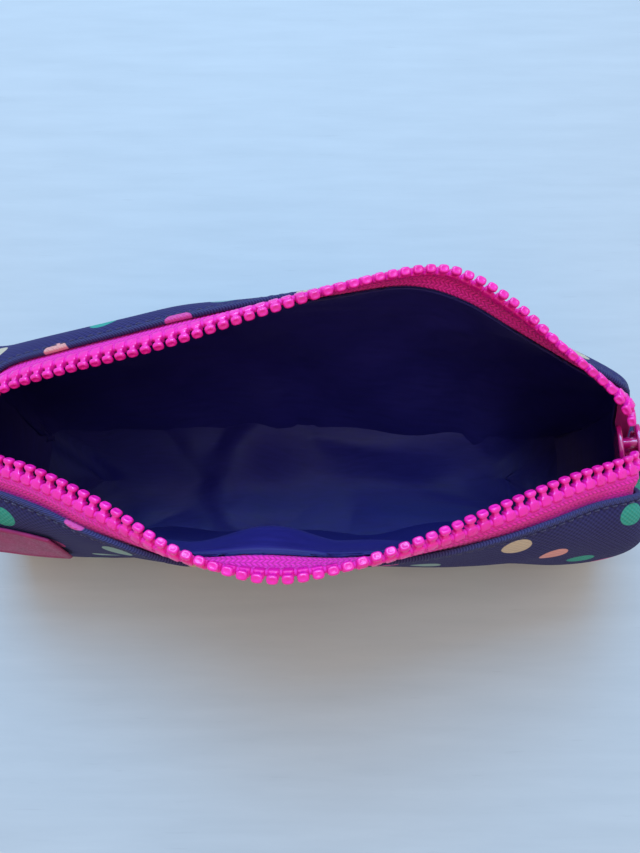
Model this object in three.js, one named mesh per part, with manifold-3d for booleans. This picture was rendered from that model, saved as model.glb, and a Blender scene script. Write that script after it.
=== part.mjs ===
// Makeup bag: a soft boxed pouch of printed canvas with a loose satin lining and a
// chunky moulded zip, standing with the zip fully open.  Units are millimetres, +Z is up,
// +X runs along the zip to the end where the open slider parks, -Y is the front.
import * as THREE from 'three';
import Module from 'manifold-3d';

const wasm = await Module();
wasm.setup();

// ---- Driving dimensions -------------------------------------------------------------
const GAP = 0.3;                    // clearance left between touching pieces
const FLOOR_Z = 1.5;                // height of the panel bottoms, above the base panel
const OUTER_THICK = 1.2;            // printed canvas panel
const LINING_DEPTH = 2.4;           // distance from outer face to the lining's outer face
const LINING_THICK = 0.7;
const TAPE_DEPTH = 1.5;             // the zip tape lies between canvas and lining
const TAPE_THICK = 0.6;
const TAPE_VISIBLE = 7.6;           // tooth centre line to canvas hem
const TAPE_EDGE = 3.5;              // tooth centre line to the edge of the tape

const RIM_APEX_Z = 92.5;            // the open rim is arched along its length
const RIM_APEX_X = 4;
const RIM_DROP = 18.5;              // fall of the arch over RIM_REACH
const RIM_REACH = 98;

const TOOTH_PITCH = 3.5;
const TOOTH_LENGTH = 5.0;           // across the chain
const TOOTH_THICK = 2.6;
const TOOTH_NECK_WIDTH = 1.6;
const TOOTH_HEAD_WIDTH = 2.6;
const BEAD_RADIUS = 0.9;
const BEAD_OFFSET = 2.0;            // bead cord centre from the tooth centre line

const SLIDER_CENTRE = new THREE.Vector3(94, 0, 66);
const SLIDER_FORWARD_DEG = 110;     // direction of the slider's nose, up from +X
const SLIDER_LENGTH = 15;
const SLIDER_NOSE_WIDTH = 11.5;
const SLIDER_TAIL_WIDTH = 8.6;
const SLIDER_PLATE = 1.3;
const SLIDER_CHANNEL = 3.4;         // space between the two plates
const CROWN_HEIGHT = 4.2;
const CROWN_BAR_RADIUS = 0.9;
const PULL_LENGTH = 32;
const PULL_WIDTH = 9;
const PULL_THICK = 2.2;
const PULL_REST_DEG = -64;          // direction of the hanging pull, up from +X

const BASE_HALF_DEPTH = 27.5;
const BELLY_HALF_DEPTH = 34;
const BASE_THICK = 1.2;
const LINING_BASE_INSET = 4.0;      // keeps the lining floor inside the lining walls
const PATCH_THICK = 1.2;

// Plan of the two tooth rows while the mouth is open: [x, y].
const FRONT_ROW = [
  [-92, -3.6], [-79, -7.0], [-66, -11.3], [-47, -20.3], [-28, -30.7], [-8, -36.2],
  [9, -34.9], [30, -28.8], [50, -21.0], [69, -13.5], [82, -9.2], [88.5, -7.0],
];
const BACK_ROW = [
  [-92, 4.2], [-86.5, 9.6], [-79, 14.2], [-64, 17.2], [-35, 22.5], [-9, 30.1], [18, 38.5],
  [36, 42.4], [47, 40.3], [59, 33.0], [70, 23.9], [82, 15.0], [88.5, 8.8],
];
const ROW_ENTRY = [[90.7, 5.0, 76.5], [91.2, 3.6, 73.7]];   // into the slider's nose

const group = new THREE.Group();
group.name = 'makeup_bag';

// ---- Small helpers --------------------------------------------------------------------
function radians(degrees) {
  return degrees * Math.PI / 180;
}

function archHeight(x) {
  return RIM_APEX_Z - RIM_DROP * ((x - RIM_APEX_X) / RIM_REACH) ** 2;
}

function addMesh(name, geometry, colour, roughness) {
  const material = new THREE.MeshStandardMaterial({ color: colour, roughness });
  const mesh = new THREE.Mesh(geometry, material);
  mesh.name = name;
  group.add(mesh);
  return mesh;
}

// Joins equal vertices so that the solid is watertight, then hands it to the kernel.
function toSolid(geometry) {
  const position = geometry.getAttribute('position');
  const index = geometry.getIndex();
  const count = index ? index.count : position.count;
  const seen = new Map();
  const vertices = [];
  const triangles = [];
  const corner = new THREE.Vector3();
  for (let i = 0; i < count; i += 1) {
    corner.fromBufferAttribute(position, index ? index.getX(i) : i);
    const key = corner.toArray().map((value) => Math.round(value * 1e4)).join(',');
    if (!seen.has(key)) {
      seen.set(key, vertices.length / 3);
      vertices.push(corner.x, corner.y, corner.z);
    }
    triangles.push(seen.get(key));
  }
  const kept = [];
  for (let i = 0; i < triangles.length; i += 3) {
    const [a, b, c] = triangles.slice(i, i + 3);
    if (a !== b && b !== c && c !== a) {
      kept.push(a, b, c);
    }
  }
  return new wasm.Manifold(new wasm.Mesh({
    numProp: 3,
    vertProperties: new Float32Array(vertices),
    triVerts: new Uint32Array(kept),
  }));
}

function fromSolid(solid) {
  const mesh = solid.getMesh();
  const geometry = new THREE.BufferGeometry();
  geometry.setAttribute('position', new THREE.BufferAttribute(mesh.vertProperties, 3));
  geometry.setIndex(new THREE.BufferAttribute(mesh.triVerts, 1));
  geometry.computeVertexNormals();
  return geometry;
}

function unite(geometries) {
  let solid = toSolid(geometries[0]);
  for (const geometry of geometries.slice(1)) {
    solid = solid.add(toSolid(geometry));
  }
  return fromSolid(solid);
}

// Closed sheet from two matching grids of points: the outer face and the inner face.
function sheetFromGrids(outer, inner) {
  const rows = outer.length;
  const columns = outer[0].length;
  const points = [...outer.flat(), ...inner.flat()];
  const at = (side, r, c) => side * rows * columns + r * columns + c;
  const index = [];
  const quad = (a, b, c, d) => index.push(a, b, c, a, c, d);
  for (let r = 0; r < rows - 1; r += 1) {
    for (let c = 0; c < columns - 1; c += 1) {
      quad(at(0, r, c), at(0, r + 1, c), at(0, r + 1, c + 1), at(0, r, c + 1));
      quad(at(1, r, c), at(1, r, c + 1), at(1, r + 1, c + 1), at(1, r + 1, c));
    }
  }
  for (let c = 0; c < columns - 1; c += 1) {
    quad(at(0, 0, c), at(0, 0, c + 1), at(1, 0, c + 1), at(1, 0, c));
    quad(at(0, rows - 1, c + 1), at(0, rows - 1, c), at(1, rows - 1, c), at(1, rows - 1, c + 1));
  }
  for (let r = 0; r < rows - 1; r += 1) {
    quad(at(0, r + 1, 0), at(0, r, 0), at(1, r, 0), at(1, r + 1, 0));
    quad(at(0, r, columns - 1), at(0, r + 1, columns - 1), at(1, r + 1, columns - 1),
      at(1, r, columns - 1));
  }
  const geometry = new THREE.BufferGeometry();
  geometry.setFromPoints(points);
  geometry.setIndex(index);
  geometry.computeVertexNormals();
  return geometry;
}

// ---- Tooth rows -----------------------------------------------------------------------
function rowCurve(plan, side) {
  const points = plan.map(([x, y]) => new THREE.Vector3(x, y, archHeight(x)));
  for (const [x, y, z] of ROW_ENTRY) {
    points.push(new THREE.Vector3(x, side * y, z));
  }
  return new THREE.CatmullRomCurve3(points, false, 'catmullrom', 0.5);
}

const SIDES = {
  front: {
    sign: -1,
    curve: rowCurve(FRONT_ROW, -1),
    leanFrom: 19,
    leanRate: 3.9,
    overhang: 0.8,
    rightLean: 0,
    shoulderLimit: 33,
    shoulderSlope: 0.03,
    rightBulge: 0,
  },
  back: {
    sign: 1,
    curve: rowCurve(BACK_ROW, 1),
    leanFrom: 22.5,
    leanRate: 2.6,
    overhang: 0,
    rightLean: 34,
    shoulderLimit: 50,
    shoulderSlope: -0.11,
    rightBulge: 6,
  },
};

// The tape leans gently outwards at the ends of the zip and hangs steeply at mid mouth.
const LEAN_AT_ENDS = 25;            // degrees below level
const OVERHANG_FROM = 31;           // past this depth the rim hangs outwards
function leanDirection(side, point, tangent) {
  const depth = Math.abs(point.y);
  const lean = radians(LEAN_AT_ENDS
    + Math.max(0, depth - side.leanFrom) * side.leanRate
    + side.overhang * Math.max(0, depth - OVERHANG_FROM) ** 2
    + side.rightLean * THREE.MathUtils.smoothstep(point.x, 36, 58));
  const outward = new THREE.Vector3(side.sign * tangent.y, -side.sign * tangent.x, 0);
  outward.normalize().multiplyScalar(-Math.cos(lean));
  outward.z = -Math.sin(lean);
  return outward.addScaledVector(tangent, -outward.dot(tangent)).normalize();
}

function rowFrame(side, fraction) {
  const point = side.curve.getPointAt(fraction);
  const tangent = side.curve.getTangentAt(fraction);
  const outward = leanDirection(side, point, tangent);
  if (fraction > 0.93) {
    // Close to the slider the row turns down, and its tape lies straight sideways.
    const sideways = new THREE.Vector3(0, side.sign, 0);
    sideways.addScaledVector(tangent, -sideways.dot(tangent)).normalize();
    outward.lerp(sideways, Math.min(1, (fraction - 0.93) / 0.05)).normalize();
  }
  const normal = new THREE.Vector3().crossVectors(tangent, outward).normalize();
  return { point, tangent, outward, normal };
}

function toothShape() {
  const half = TOOTH_LENGTH / 2;
  const right = [
    [-half - 0.6, TOOTH_NECK_WIDTH / 2], [0.4, TOOTH_NECK_WIDTH / 2],
    [1.0, TOOTH_HEAD_WIDTH / 2], [half, TOOTH_HEAD_WIDTH / 2],
  ];
  const left = right.map(([along, across]) => [along, -across]).reverse();
  return new THREE.Shape([...right, ...left].map(([along, across]) => (
    new THREE.Vector2(across, along))));
}

const TOOTH = new THREE.ExtrudeGeometry(toothShape(), { depth: TOOTH_THICK, bevelEnabled: false });
TOOTH.translate(0, 0, -TOOTH_THICK / 2);

function placedTooth(side, fraction) {
  const { point, tangent, outward } = rowFrame(side, fraction);
  const inward = outward.clone().negate();
  const third = new THREE.Vector3().crossVectors(tangent, inward);
  const matrix = new THREE.Matrix4().makeBasis(tangent, inward, third).setPosition(point);
  return TOOTH.clone().applyMatrix4(matrix);
}

function offsetCurve(side, distance, from, to, count) {
  const points = [];
  for (let i = 0; i <= count; i += 1) {
    const frame = rowFrame(side, from + (to - from) * i / count);
    points.push(frame.point.clone().addScaledVector(frame.outward, distance));
  }
  return new THREE.CatmullRomCurve3(points);
}

function circleShape(radius, sides) {
  const points = [];
  for (let i = 0; i < sides; i += 1) {
    const angle = (i + 0.5) * 2 * Math.PI / sides;
    points.push(new THREE.Vector2(radius * Math.cos(angle), radius * Math.sin(angle)));
  }
  return new THREE.Shape(points);
}

function buildToothRow(name, side, stagger) {
  const length = side.curve.getLength();
  const count = Math.floor((length - 2) / TOOTH_PITCH);
  const bead = new THREE.ExtrudeGeometry(circleShape(BEAD_RADIUS, 4), {
    steps: 44,
    bevelEnabled: false,
    extrudePath: offsetCurve(side, BEAD_OFFSET, 0.008, 0.992, 44),
  });
  const pieces = [bead];
  for (let i = 0; i < count; i += 1) {
    pieces.push(placedTooth(side, (1.6 + (i + stagger) * TOOTH_PITCH) / length));
  }
  addMesh(name, unite(pieces), 0xf4148f, 0.35);
}

// ---- Sewn shell -------------------------------------------------------------------------
// A rib runs down the outside from the hem to the base as a cubic curve; the shell is
// swept through the ribs all the way round the bag.
const SHOULDER_REACH = 25;
const BELLY_Z = 20;
const SKEW = -0.03;                 // the soft belly leans back at the left end

function panelRib(side, x) {
  const spread = Math.abs(x) / 90;
  const { point, outward } = rowFrame(side, fractionAtX(side, x));
  const hem = point.clone().addScaledVector(outward, TAPE_VISIBLE);
  const shoulder = hem.clone().addScaledVector(outward, SHOULDER_REACH);
  const limit = side.shoulderLimit + side.shoulderSlope * x;
  shoulder.y = side.sign * Math.min(side.sign * shoulder.y, limit)
    + side.rightBulge * THREE.MathUtils.smoothstep(x, 40, 60);
  const bellyDepth = side.sign * (BELLY_HALF_DEPTH - 2.5 * spread) + SKEW * x;
  const baseDepth = side.sign * (BASE_HALF_DEPTH - 2 * spread);
  return [
    hem, shoulder,
    new THREE.Vector3(x * 1.1, bellyDepth, BELLY_Z),
    new THREE.Vector3(x * 1.05, baseDepth, FLOOR_Z),
  ];
}

function fractionAtX(side, x) {
  let low = 0;
  let high = 0.95;
  for (let i = 0; i < 30; i += 1) {
    const middle = (low + high) / 2;
    if (side.curve.getPointAt(middle).x < x) {
      low = middle;
    } else {
      high = middle;
    }
  }
  return low;
}

function rib(...rows) {
  return rows.map(([x, y, z]) => new THREE.Vector3(x, y, z));
}

const PANEL_STATIONS = [-80, -64, -46, -28, -9, 12, 32, 48, 62, 76];

function rightEndRibs(sign) {
  return [
    rib([90.2, sign * 14.8, 75.6], [97, sign * 30.5 - 1.5, 65], [101, sign * 31 - 2, 21],
      [92.5, sign * 25.2, FLOOR_Z]),
    rib([94.6, sign * 11.0, 65.5], [104.5, sign * 27 - 2, 59], [111, sign * 27.5 - 2, 22],
      [99, sign * 22.4, FLOOR_Z]),
  ];
}

function leftEndRibs(sign) {
  return [
    rib([-90.3, sign * 12.3, 72.6], [-97, sign * 37 + 9, 71], [-102, sign * 31 + 2, 21],
      [-92.5, sign * 25.2, FLOOR_Z]),
    rib([-95.6, sign * 11.0, 71.2], [-105.5, sign * 30 + 5, 67], [-112, sign * 27.5 + 2, 22],
      [-99, sign * 22.4, FLOOR_Z]),
  ];
}

const RIGHT_GUSSET = [
  rib([97.3, -7.6, 57.0], [108, -20, 53], [116.5, -21, 22], [102.5, -16, FLOOR_Z]),
  rib([98.4, 0, 54.5], [110.5, -1, 50], [118.5, -1, 22], [103.4, 0, FLOOR_Z]),
  rib([97.3, 7.6, 57.0], [108, 18, 53], [116.5, 19, 22], [102.5, 16, FLOOR_Z]),
];
const LEFT_GUSSET = [
  rib([-97.0, 7.0, 70.8], [-108.5, 20.5, 62], [-117.5, 21, 22], [-102.5, 16, FLOOR_Z]),
  rib([-97.4, 0, 70.6], [-110, 1, 61.5], [-119.5, 1, 22], [-103.4, 0, FLOOR_Z]),
  rib([-97.0, -7.0, 70.8], [-108.5, -18.5, 62], [-117.5, -19, 22], [-102.5, -16, FLOOR_Z]),
];

function allRibs() {
  const front = PANEL_STATIONS.map((x) => panelRib(SIDES.front, x));
  const back = PANEL_STATIONS.map((x) => panelRib(SIDES.back, x)).reverse();
  return [
    ...leftEndRibs(-1).reverse(), ...front, ...rightEndRibs(-1), ...RIGHT_GUSSET,
    ...rightEndRibs(1).reverse(), ...back, ...leftEndRibs(1), ...LEFT_GUSSET,
  ];
}

const RIBS = allRibs();
const LOOPS = [0, 1, 2, 3].map((row) => (
  new THREE.CatmullRomCurve3(RIBS.map((one) => one[row]), true, 'catmullrom', 0.5)));
// Rib numbers of the four upright seams, at the corners of the bag.
const FRONT_LEFT = 0;
const FRONT_RIGHT = PANEL_STATIONS.length + 3;
const BACK_RIGHT = FRONT_RIGHT + 4;
const BACK_LEFT = BACK_RIGHT + FRONT_RIGHT;
const SEAM = 0.03;                  // half the seam gap, in rib spacings
const TAPE_TUCK = 0.055;            // how far the tape runs down between the layers, in v

function shellPoint(u, v) {
  const turn = ((u / RIBS.length) % 1 + 1) % 1;
  const [a, b, c, d] = LOOPS.map((loop) => loop.getPoint(turn));
  const w = 1 - v;
  return new THREE.Vector3()
    .addScaledVector(a, w * w * w)
    .addScaledVector(b, 3 * w * w * v)
    .addScaledVector(c, 3 * w * v * v)
    .addScaledVector(d, v * v * v);
}

const PROBE = 0.02;
function shellNormal(u, v) {
  const along = shellPoint(u + PROBE, v).sub(shellPoint(u - PROBE, v));
  const low = Math.max(0, v - PROBE);
  const high = Math.min(1, v + PROBE);
  const down = shellPoint(u, high).sub(shellPoint(u, low));
  return along.cross(down).normalize().negate();
}

function shellOffset(u, v, depth) {
  return shellPoint(u, v).addScaledVector(shellNormal(u, v), -depth);
}

// The samples run seam to seam, two to each rib spacing, so that layers stay parallel.
function samples(from, to, perRib) {
  const list = [from + SEAM];
  for (let i = 1; i < (to - from) * perRib; i += 1) {
    list.push(from + i / perRib);
  }
  list.push(to - SEAM);
  return list;
}

function shellSheet(us, vs, nearDepth, farDepth) {
  const grid = (depth) => vs.map((v) => us.map((u) => shellOffset(u, v, depth)));
  return sheetFromGrids(grid(nearDepth), grid(farDepth));
}

function steps(from, to, count) {
  return Array.from({ length: count + 1 }, (_, i) => from + (to - from) * i / count);
}

const CANVAS = 0x1e1d4f;
const LINING = 0x161a4a;
const WALLS = [
  ['front_panel', 'lining_front', FRONT_LEFT, FRONT_RIGHT],
  ['right_gusset', 'lining_right_end', FRONT_RIGHT, BACK_RIGHT],
  ['back_panel', 'lining_back', BACK_RIGHT, BACK_LEFT],
  ['left_gusset', 'lining_left_end', BACK_LEFT, RIBS.length],
];

function buildWalls() {
  for (const [outer, lining, from, to] of WALLS) {
    const us = samples(from, to, 2);
    const vs = [0, TAPE_TUCK, ...steps(0.16, 1, 8)];
    addMesh(outer, shellSheet(us, vs, 0, OUTER_THICK), CANVAS, 0.85);
    const inner = shellSheet(us, steps(0.05, 1, 10), LINING_DEPTH, LINING_DEPTH + LINING_THICK);
    addMesh(lining, inner, LINING, 0.5);
  }
}

function floorPlate(name, inset, bottom, thickness, colour) {
  const points = samples(0, RIBS.length, 2).map((u) => {
    const normal = shellNormal(u, 1).setZ(0).normalize();
    const edge = shellPoint(u, 1).addScaledVector(normal, -inset);
    return new THREE.Vector2(edge.x, edge.y);
  });
  const plate = new THREE.ExtrudeGeometry(new THREE.Shape(points), {
    depth: thickness, bevelEnabled: false,
  });
  plate.translate(0, 0, bottom);
  addMesh(name, plate, colour, 0.85);
}

// ---- Zip tapes --------------------------------------------------------------------------
function tapeColumn(side, u, inner, up) {
  const near = [TAPE_TUCK, 0].map((v) => shellOffset(u, v, TAPE_DEPTH));
  const far = [TAPE_TUCK, 0].map((v) => shellOffset(u, v, TAPE_DEPTH + TAPE_THICK));
  near.push(inner.clone().addScaledVector(up, TAPE_THICK / 2));
  far.push(inner.clone().addScaledVector(up, -TAPE_THICK / 2));
  return { near, far };
}

// Rib number round the bag, counted from the left end of either side.
function ribNumber(side, station) {
  return side.sign < 0 ? FRONT_LEFT + station : BACK_LEFT - station;
}

function tapeEdge(side, station) {
  const stations = [-93.4, -90.3, ...PANEL_STATIONS, 88.4];
  const last = stations.length - 1;
  if (station > last) {
    // Beyond the slider's nose the tape edge follows the closed chain downwards.
    const start = rowFrame(side, 0.985);
    const edge = start.point.clone().addScaledVector(start.outward, TAPE_EDGE);
    const end = new THREE.Vector3(97.2, side.sign * TAPE_EDGE, 57.2);
    edge.lerp(end, Math.min(1, (station - last) / 1.6));
    return { edge, up: new THREE.Vector3(0.94, 0, 0.342) };
  }
  const whole = Math.min(last - 1, Math.floor(station));
  const x = stations[whole] + (stations[whole + 1] - stations[whole]) * (station - whole);
  const frame = rowFrame(side, fractionAtX(side, Math.max(x, -91.9)));
  const edge = frame.point.clone().addScaledVector(frame.outward, TAPE_EDGE);
  edge.x += Math.min(0, x + 91.9);
  const up = frame.normal.clone().multiplyScalar(side.sign);
  return { edge, up };
}

function buildTape(name, side) {
  const end = PANEL_STATIONS.length + 3.9;
  const stations = [];
  for (let station = -0.15; station < end; station += 0.5) {
    stations.push(station < 0 ? station : Math.round(station * 2) / 2);
  }
  const columns = stations.map((station) => {
    const { edge, up } = tapeEdge(side, Math.max(0, station));
    return tapeColumn(side, ribNumber(side, station), edge, up);
  });
  if (side.sign > 0) {
    columns.reverse();
  }
  const grid = (layer) => [2, 1, 0].map((row) => columns.map((column) => column[layer][row]));
  addMesh(name, sheetFromGrids(grid('near'), grid('far')), 0xe0127f, 0.8);
}

// ---- Slider, pull and end stops ----------------------------------------------------------
const FORWARD = new THREE.Vector3(
  Math.cos(radians(SLIDER_FORWARD_DEG)), 0, Math.sin(radians(SLIDER_FORWARD_DEG)));
const OUTWARD = new THREE.Vector3(FORWARD.z, 0, -FORWARD.x);
const ACROSS = new THREE.Vector3(0, 1, 0);
const SLIDER_FRAME = new THREE.Matrix4().makeBasis(ACROSS, FORWARD, OUTWARD)
  .setPosition(SLIDER_CENTRE);

function box(width, length, height, x, y, z) {
  return new THREE.BoxGeometry(width, length, height).translate(x, y, z);
}

function sliderPlate(bottom) {
  const nose = SLIDER_LENGTH / 2;
  const halfNose = SLIDER_NOSE_WIDTH / 2;
  const halfTail = SLIDER_TAIL_WIDTH / 2;
  const shape = new THREE.Shape();
  shape.moveTo(-halfTail + 1.2, -nose);
  shape.lineTo(halfTail - 1.2, -nose);
  shape.lineTo(halfTail, -nose + 1.2);
  shape.lineTo(halfTail + 0.2, -1);
  shape.lineTo(halfNose, 3.4);
  shape.lineTo(halfNose - 0.6, nose - 1.4);
  shape.lineTo(2.4, nose);
  shape.lineTo(-2.4, nose);
  shape.lineTo(-halfNose + 0.6, nose - 1.4);
  shape.lineTo(-halfNose, 3.4);
  shape.lineTo(-halfTail - 0.2, -1);
  shape.lineTo(-halfTail, -nose + 1.2);
  const plate = new THREE.ExtrudeGeometry(shape, { depth: SLIDER_PLATE, bevelEnabled: false });
  return plate.translate(0, 0, bottom);
}

function buildSlider() {
  const half = SLIDER_CHANNEL / 2;
  const divider = new THREE.CylinderGeometry(1.5, 1.5, SLIDER_CHANNEL + 0.8, 12);
  divider.rotateX(Math.PI / 2);
  divider.scale(1, 1.5, 1);
  divider.translate(0, SLIDER_LENGTH / 2 - 2.6, 0);
  const pieces = [sliderPlate(half), sliderPlate(-half - SLIDER_PLATE), divider];
  for (const across of [-1, 1]) {
    for (const level of [-1, 1]) {
      pieces.push(box(0.7, 6.6, 1.2, across * (SLIDER_TAIL_WIDTH / 2 - 0.35), -3.6,
        level * (half)));
    }
  }
  addMesh('slider_body', unite(pieces).applyMatrix4(SLIDER_FRAME), 0xb00a62, 0.2);

  const foot = half + SLIDER_PLATE + GAP;
  const arch = new THREE.Shape();
  arch.moveTo(-4, 0);
  arch.lineTo(-4, CROWN_HEIGHT - 1.2);
  arch.lineTo(-2.8, CROWN_HEIGHT);
  arch.lineTo(2.8, CROWN_HEIGHT);
  arch.lineTo(4, CROWN_HEIGHT - 1.2);
  arch.lineTo(4, 0);
  arch.lineTo(2.7, 0);
  arch.lineTo(2.7, CROWN_HEIGHT - 1.3);
  arch.lineTo(-2.7, CROWN_HEIGHT - 1.3);
  arch.lineTo(-2.7, 0);
  const crown = new THREE.ExtrudeGeometry(arch, { depth: 3, bevelEnabled: false });
  crown.translate(0, 0, -1.5);
  crown.applyMatrix4(new THREE.Matrix4().makeBasis(
    new THREE.Vector3(0, 1, 0), new THREE.Vector3(0, 0, 1), new THREE.Vector3(1, 0, 0)));
  crown.translate(0, 0, foot);
  addMesh('slider_crown', crown.applyMatrix4(SLIDER_FRAME), 0xb00a62, 0.2);
}

const PULL_PIVOT_HEIGHT = 4.9;      // crossbar above the middle of the chain
const PULL_PIVOT = SLIDER_CENTRE.clone().addScaledVector(OUTWARD, PULL_PIVOT_HEIGHT);

function buildPull() {
  const half = PULL_WIDTH / 2;
  const outline = new THREE.Shape();
  outline.moveTo(-3.7, 0.6);
  outline.lineTo(3.7, 0.6);
  outline.lineTo(half, 7.5);
  outline.lineTo(half, PULL_LENGTH - 3);
  outline.lineTo(half - 1, PULL_LENGTH - 1);
  outline.lineTo(half - 3, PULL_LENGTH);
  outline.lineTo(-half + 3, PULL_LENGTH);
  outline.lineTo(-half + 1, PULL_LENGTH - 1);
  outline.lineTo(-half, PULL_LENGTH - 3);
  outline.lineTo(-half, 7.5);
  const window = new THREE.Path();
  window.moveTo(-2.0, -0.2 + 0.9);
  window.lineTo(-2.0, 5.6);
  window.lineTo(2.0, 5.6);
  window.lineTo(2.0, -0.2 + 0.9);
  outline.holes.push(window);
  const tab = new THREE.ExtrudeGeometry(outline, { depth: PULL_THICK, bevelEnabled: false });
  tab.translate(0, 0, -PULL_THICK / 2);
  const bar = new THREE.CylinderGeometry(CROWN_BAR_RADIUS, CROWN_BAR_RADIUS, 7.4, 12);
  bar.rotateZ(Math.PI / 2);
  const pull = unite([tab, bar]);
  const hanging = new THREE.Vector3(
    Math.cos(radians(PULL_REST_DEG)), 0, Math.sin(radians(PULL_REST_DEG)));
  const face = new THREE.Vector3().crossVectors(ACROSS, hanging);
  pull.applyMatrix4(new THREE.Matrix4().makeBasis(ACROSS, hanging, face)
    .setPosition(PULL_PIVOT));
  addMesh('pull_tab', pull, 0xe81484, 0.25);
}

// Closed chain from the middle of the slider down to the stop at the end of the zip.
function buildEndChain() {
  const from = 0.5;
  const to = -SLIDER_LENGTH / 2 - 1.7;
  const pieces = [box(3.0, from - to, 1.8, 0, (from + to) / 2, 0)];
  const count = Math.floor((from - to - TOOTH_NECK_WIDTH) / (TOOTH_PITCH / 2)) + 1;
  for (let i = 0; i < count; i += 1) {
    const side = i % 2 ? 1 : -1;
    const along = from - TOOTH_NECK_WIDTH / 2 - i * TOOTH_PITCH / 2;
    pieces.push(box(3.4, 1.5, TOOTH_THICK, side * 1.1, along, 0));
  }
  addMesh('zip_end_chain', unite(pieces).applyMatrix4(SLIDER_FRAME), 0xf4148f, 0.35);
  const stop = box(5.6, 1.6, 3.2, 0, to - GAP - 0.8, 0).applyMatrix4(SLIDER_FRAME);
  addMesh('bottom_stop', stop, 0xf4148f, 0.3);
}

function buildTopStop(name, side) {
  const { point, tangent, outward } = rowFrame(side, 0);
  const level = new THREE.Matrix4().makeBasis(tangent, outward,
    new THREE.Vector3().crossVectors(tangent, outward));
  const stop = box(2.4, 5.0, 3.0, -2.0, 0.2, 0).applyMatrix4(level);
  stop.translate(point.x, point.y, point.z);
  addMesh(name, stop, 0xf4148f, 0.3);
}

// ---- Moulded label patch on the front ----------------------------------------------------
const PATCH_U = [0.9, 3.3];
const PATCH_V = [0.2, 0.46];

// Draws the corners of a square grid inwards, so that the sheet gets rounded corners.
function rounded(a, b) {
  const bulge = 0.35;
  return [a * Math.sqrt(1 - bulge * b * b / 2), b * Math.sqrt(1 - bulge * a * a / 2)];
}

function buildPatch() {
  const grid = (depth) => steps(-1, 1, 8).map((b) => steps(-1, 1, 10).map((a) => {
    const [x, y] = rounded(a, b);
    const u = (PATCH_U[0] + PATCH_U[1]) / 2 + x * (PATCH_U[1] - PATCH_U[0]) / 2;
    const v = (PATCH_V[0] + PATCH_V[1]) / 2 + y * (PATCH_V[1] - PATCH_V[0]) / 2;
    return shellOffset(u, v, depth);
  }));
  const near = -GAP - 0.25 - PATCH_THICK;
  addMesh('label_patch', sheetFromGrids(grid(near), grid(near + PATCH_THICK)), 0xd61a5e, 0.45);
}

buildWalls();
floorPlate('base_panel', 0, 0, BASE_THICK, CANVAS);
floorPlate('lining_base', LINING_BASE_INSET, BASE_THICK + GAP, LINING_THICK, LINING);
buildTape('front_zip_tape', SIDES.front);
buildTape('back_zip_tape', SIDES.back);
buildToothRow('front_tooth_row', SIDES.front, 0);
buildToothRow('back_tooth_row', SIDES.back, 0.5);
buildEndChain();
buildTopStop('top_stop_front', SIDES.front);
buildTopStop('top_stop_back', SIDES.back);
buildSlider();
buildPull();
buildPatch();

export default group;
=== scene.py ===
"""Makeup bag, the visual model: a soft boxed pouch of spotted canvas with a loose satin lining
and a chunky moulded zip, standing with its mouth open.  Shapes are worked out in millimetres in
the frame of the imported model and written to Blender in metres."""

import math

import bmesh
import bpy
import numpy as np
from mathutils import Matrix, Vector
from mathutils.bvhtree import BVHTree
from mathutils.geometry import tessellate_polygon


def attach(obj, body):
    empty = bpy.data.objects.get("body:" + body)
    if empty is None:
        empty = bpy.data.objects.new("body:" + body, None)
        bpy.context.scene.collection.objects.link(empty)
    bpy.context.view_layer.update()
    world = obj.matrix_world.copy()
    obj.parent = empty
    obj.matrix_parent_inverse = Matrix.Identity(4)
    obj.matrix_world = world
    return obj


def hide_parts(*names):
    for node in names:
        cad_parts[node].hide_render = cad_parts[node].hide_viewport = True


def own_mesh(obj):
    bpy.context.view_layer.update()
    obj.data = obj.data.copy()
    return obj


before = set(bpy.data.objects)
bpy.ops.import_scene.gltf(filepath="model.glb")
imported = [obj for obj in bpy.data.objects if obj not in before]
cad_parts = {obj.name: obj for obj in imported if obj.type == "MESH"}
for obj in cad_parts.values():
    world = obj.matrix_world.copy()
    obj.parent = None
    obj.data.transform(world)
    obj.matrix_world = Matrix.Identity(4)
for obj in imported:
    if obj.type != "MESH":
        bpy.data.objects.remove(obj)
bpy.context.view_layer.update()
MM = 0.001

# ---- Dimensions in millimetres ------------------------------------------------------------
# The shell, the zip's lines and its hardware follow the CAD model. The lining and the tapes are
# a little thinner here than their CAD solids, to leave room for folds and knit.
FLOOR_Z = 1.5                       # height of the panel bottoms
CANVAS_THICK = 1.2
LINING_DEPTH, LINING_THICK = 2.6, 0.5
LINING_FLOOR_Z = 1.75
TAPE_DEPTH, TAPE_THICK = 1.8, 0.5   # depth of the tape's middle under the canvas
TAPE_VISIBLE = 7.6                  # tooth centre line to canvas hem
RIM_APEX_Z, RIM_APEX_X, RIM_DROP, RIM_REACH = 92.5, 4.0, 18.5, 98.0
TOOTH_PITCH = 3.5
BEAD_OFFSET, BEAD_RADIUS = 2.0, 0.85
SLIDER_CENTRE = np.array([94.0, 0.0, 66.0])
SLIDER_FORWARD_DEG = 110.0
SLIDER_LENGTH, SLIDER_NOSE_WIDTH, SLIDER_TAIL_WIDTH = 15.0, 11.5, 8.6
SLIDER_PLATE, SLIDER_CHANNEL = 1.3, 3.4
CROWN_HEIGHT, CROWN_LENGTH, CROWN_WIDTH = 4.2, 8.0, 3.0
PULL_LENGTH, PULL_WIDTH, PULL_THICK, PULL_REST_DEG = 32.0, 9.0, 2.2, -64.0
PULL_PIVOT_HEIGHT = 4.9
BASE_HALF_DEPTH, BELLY_HALF_DEPTH, BELLY_Z, SHOULDER_REACH = 27.5, 34.0, 20.0, 25.0
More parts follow.
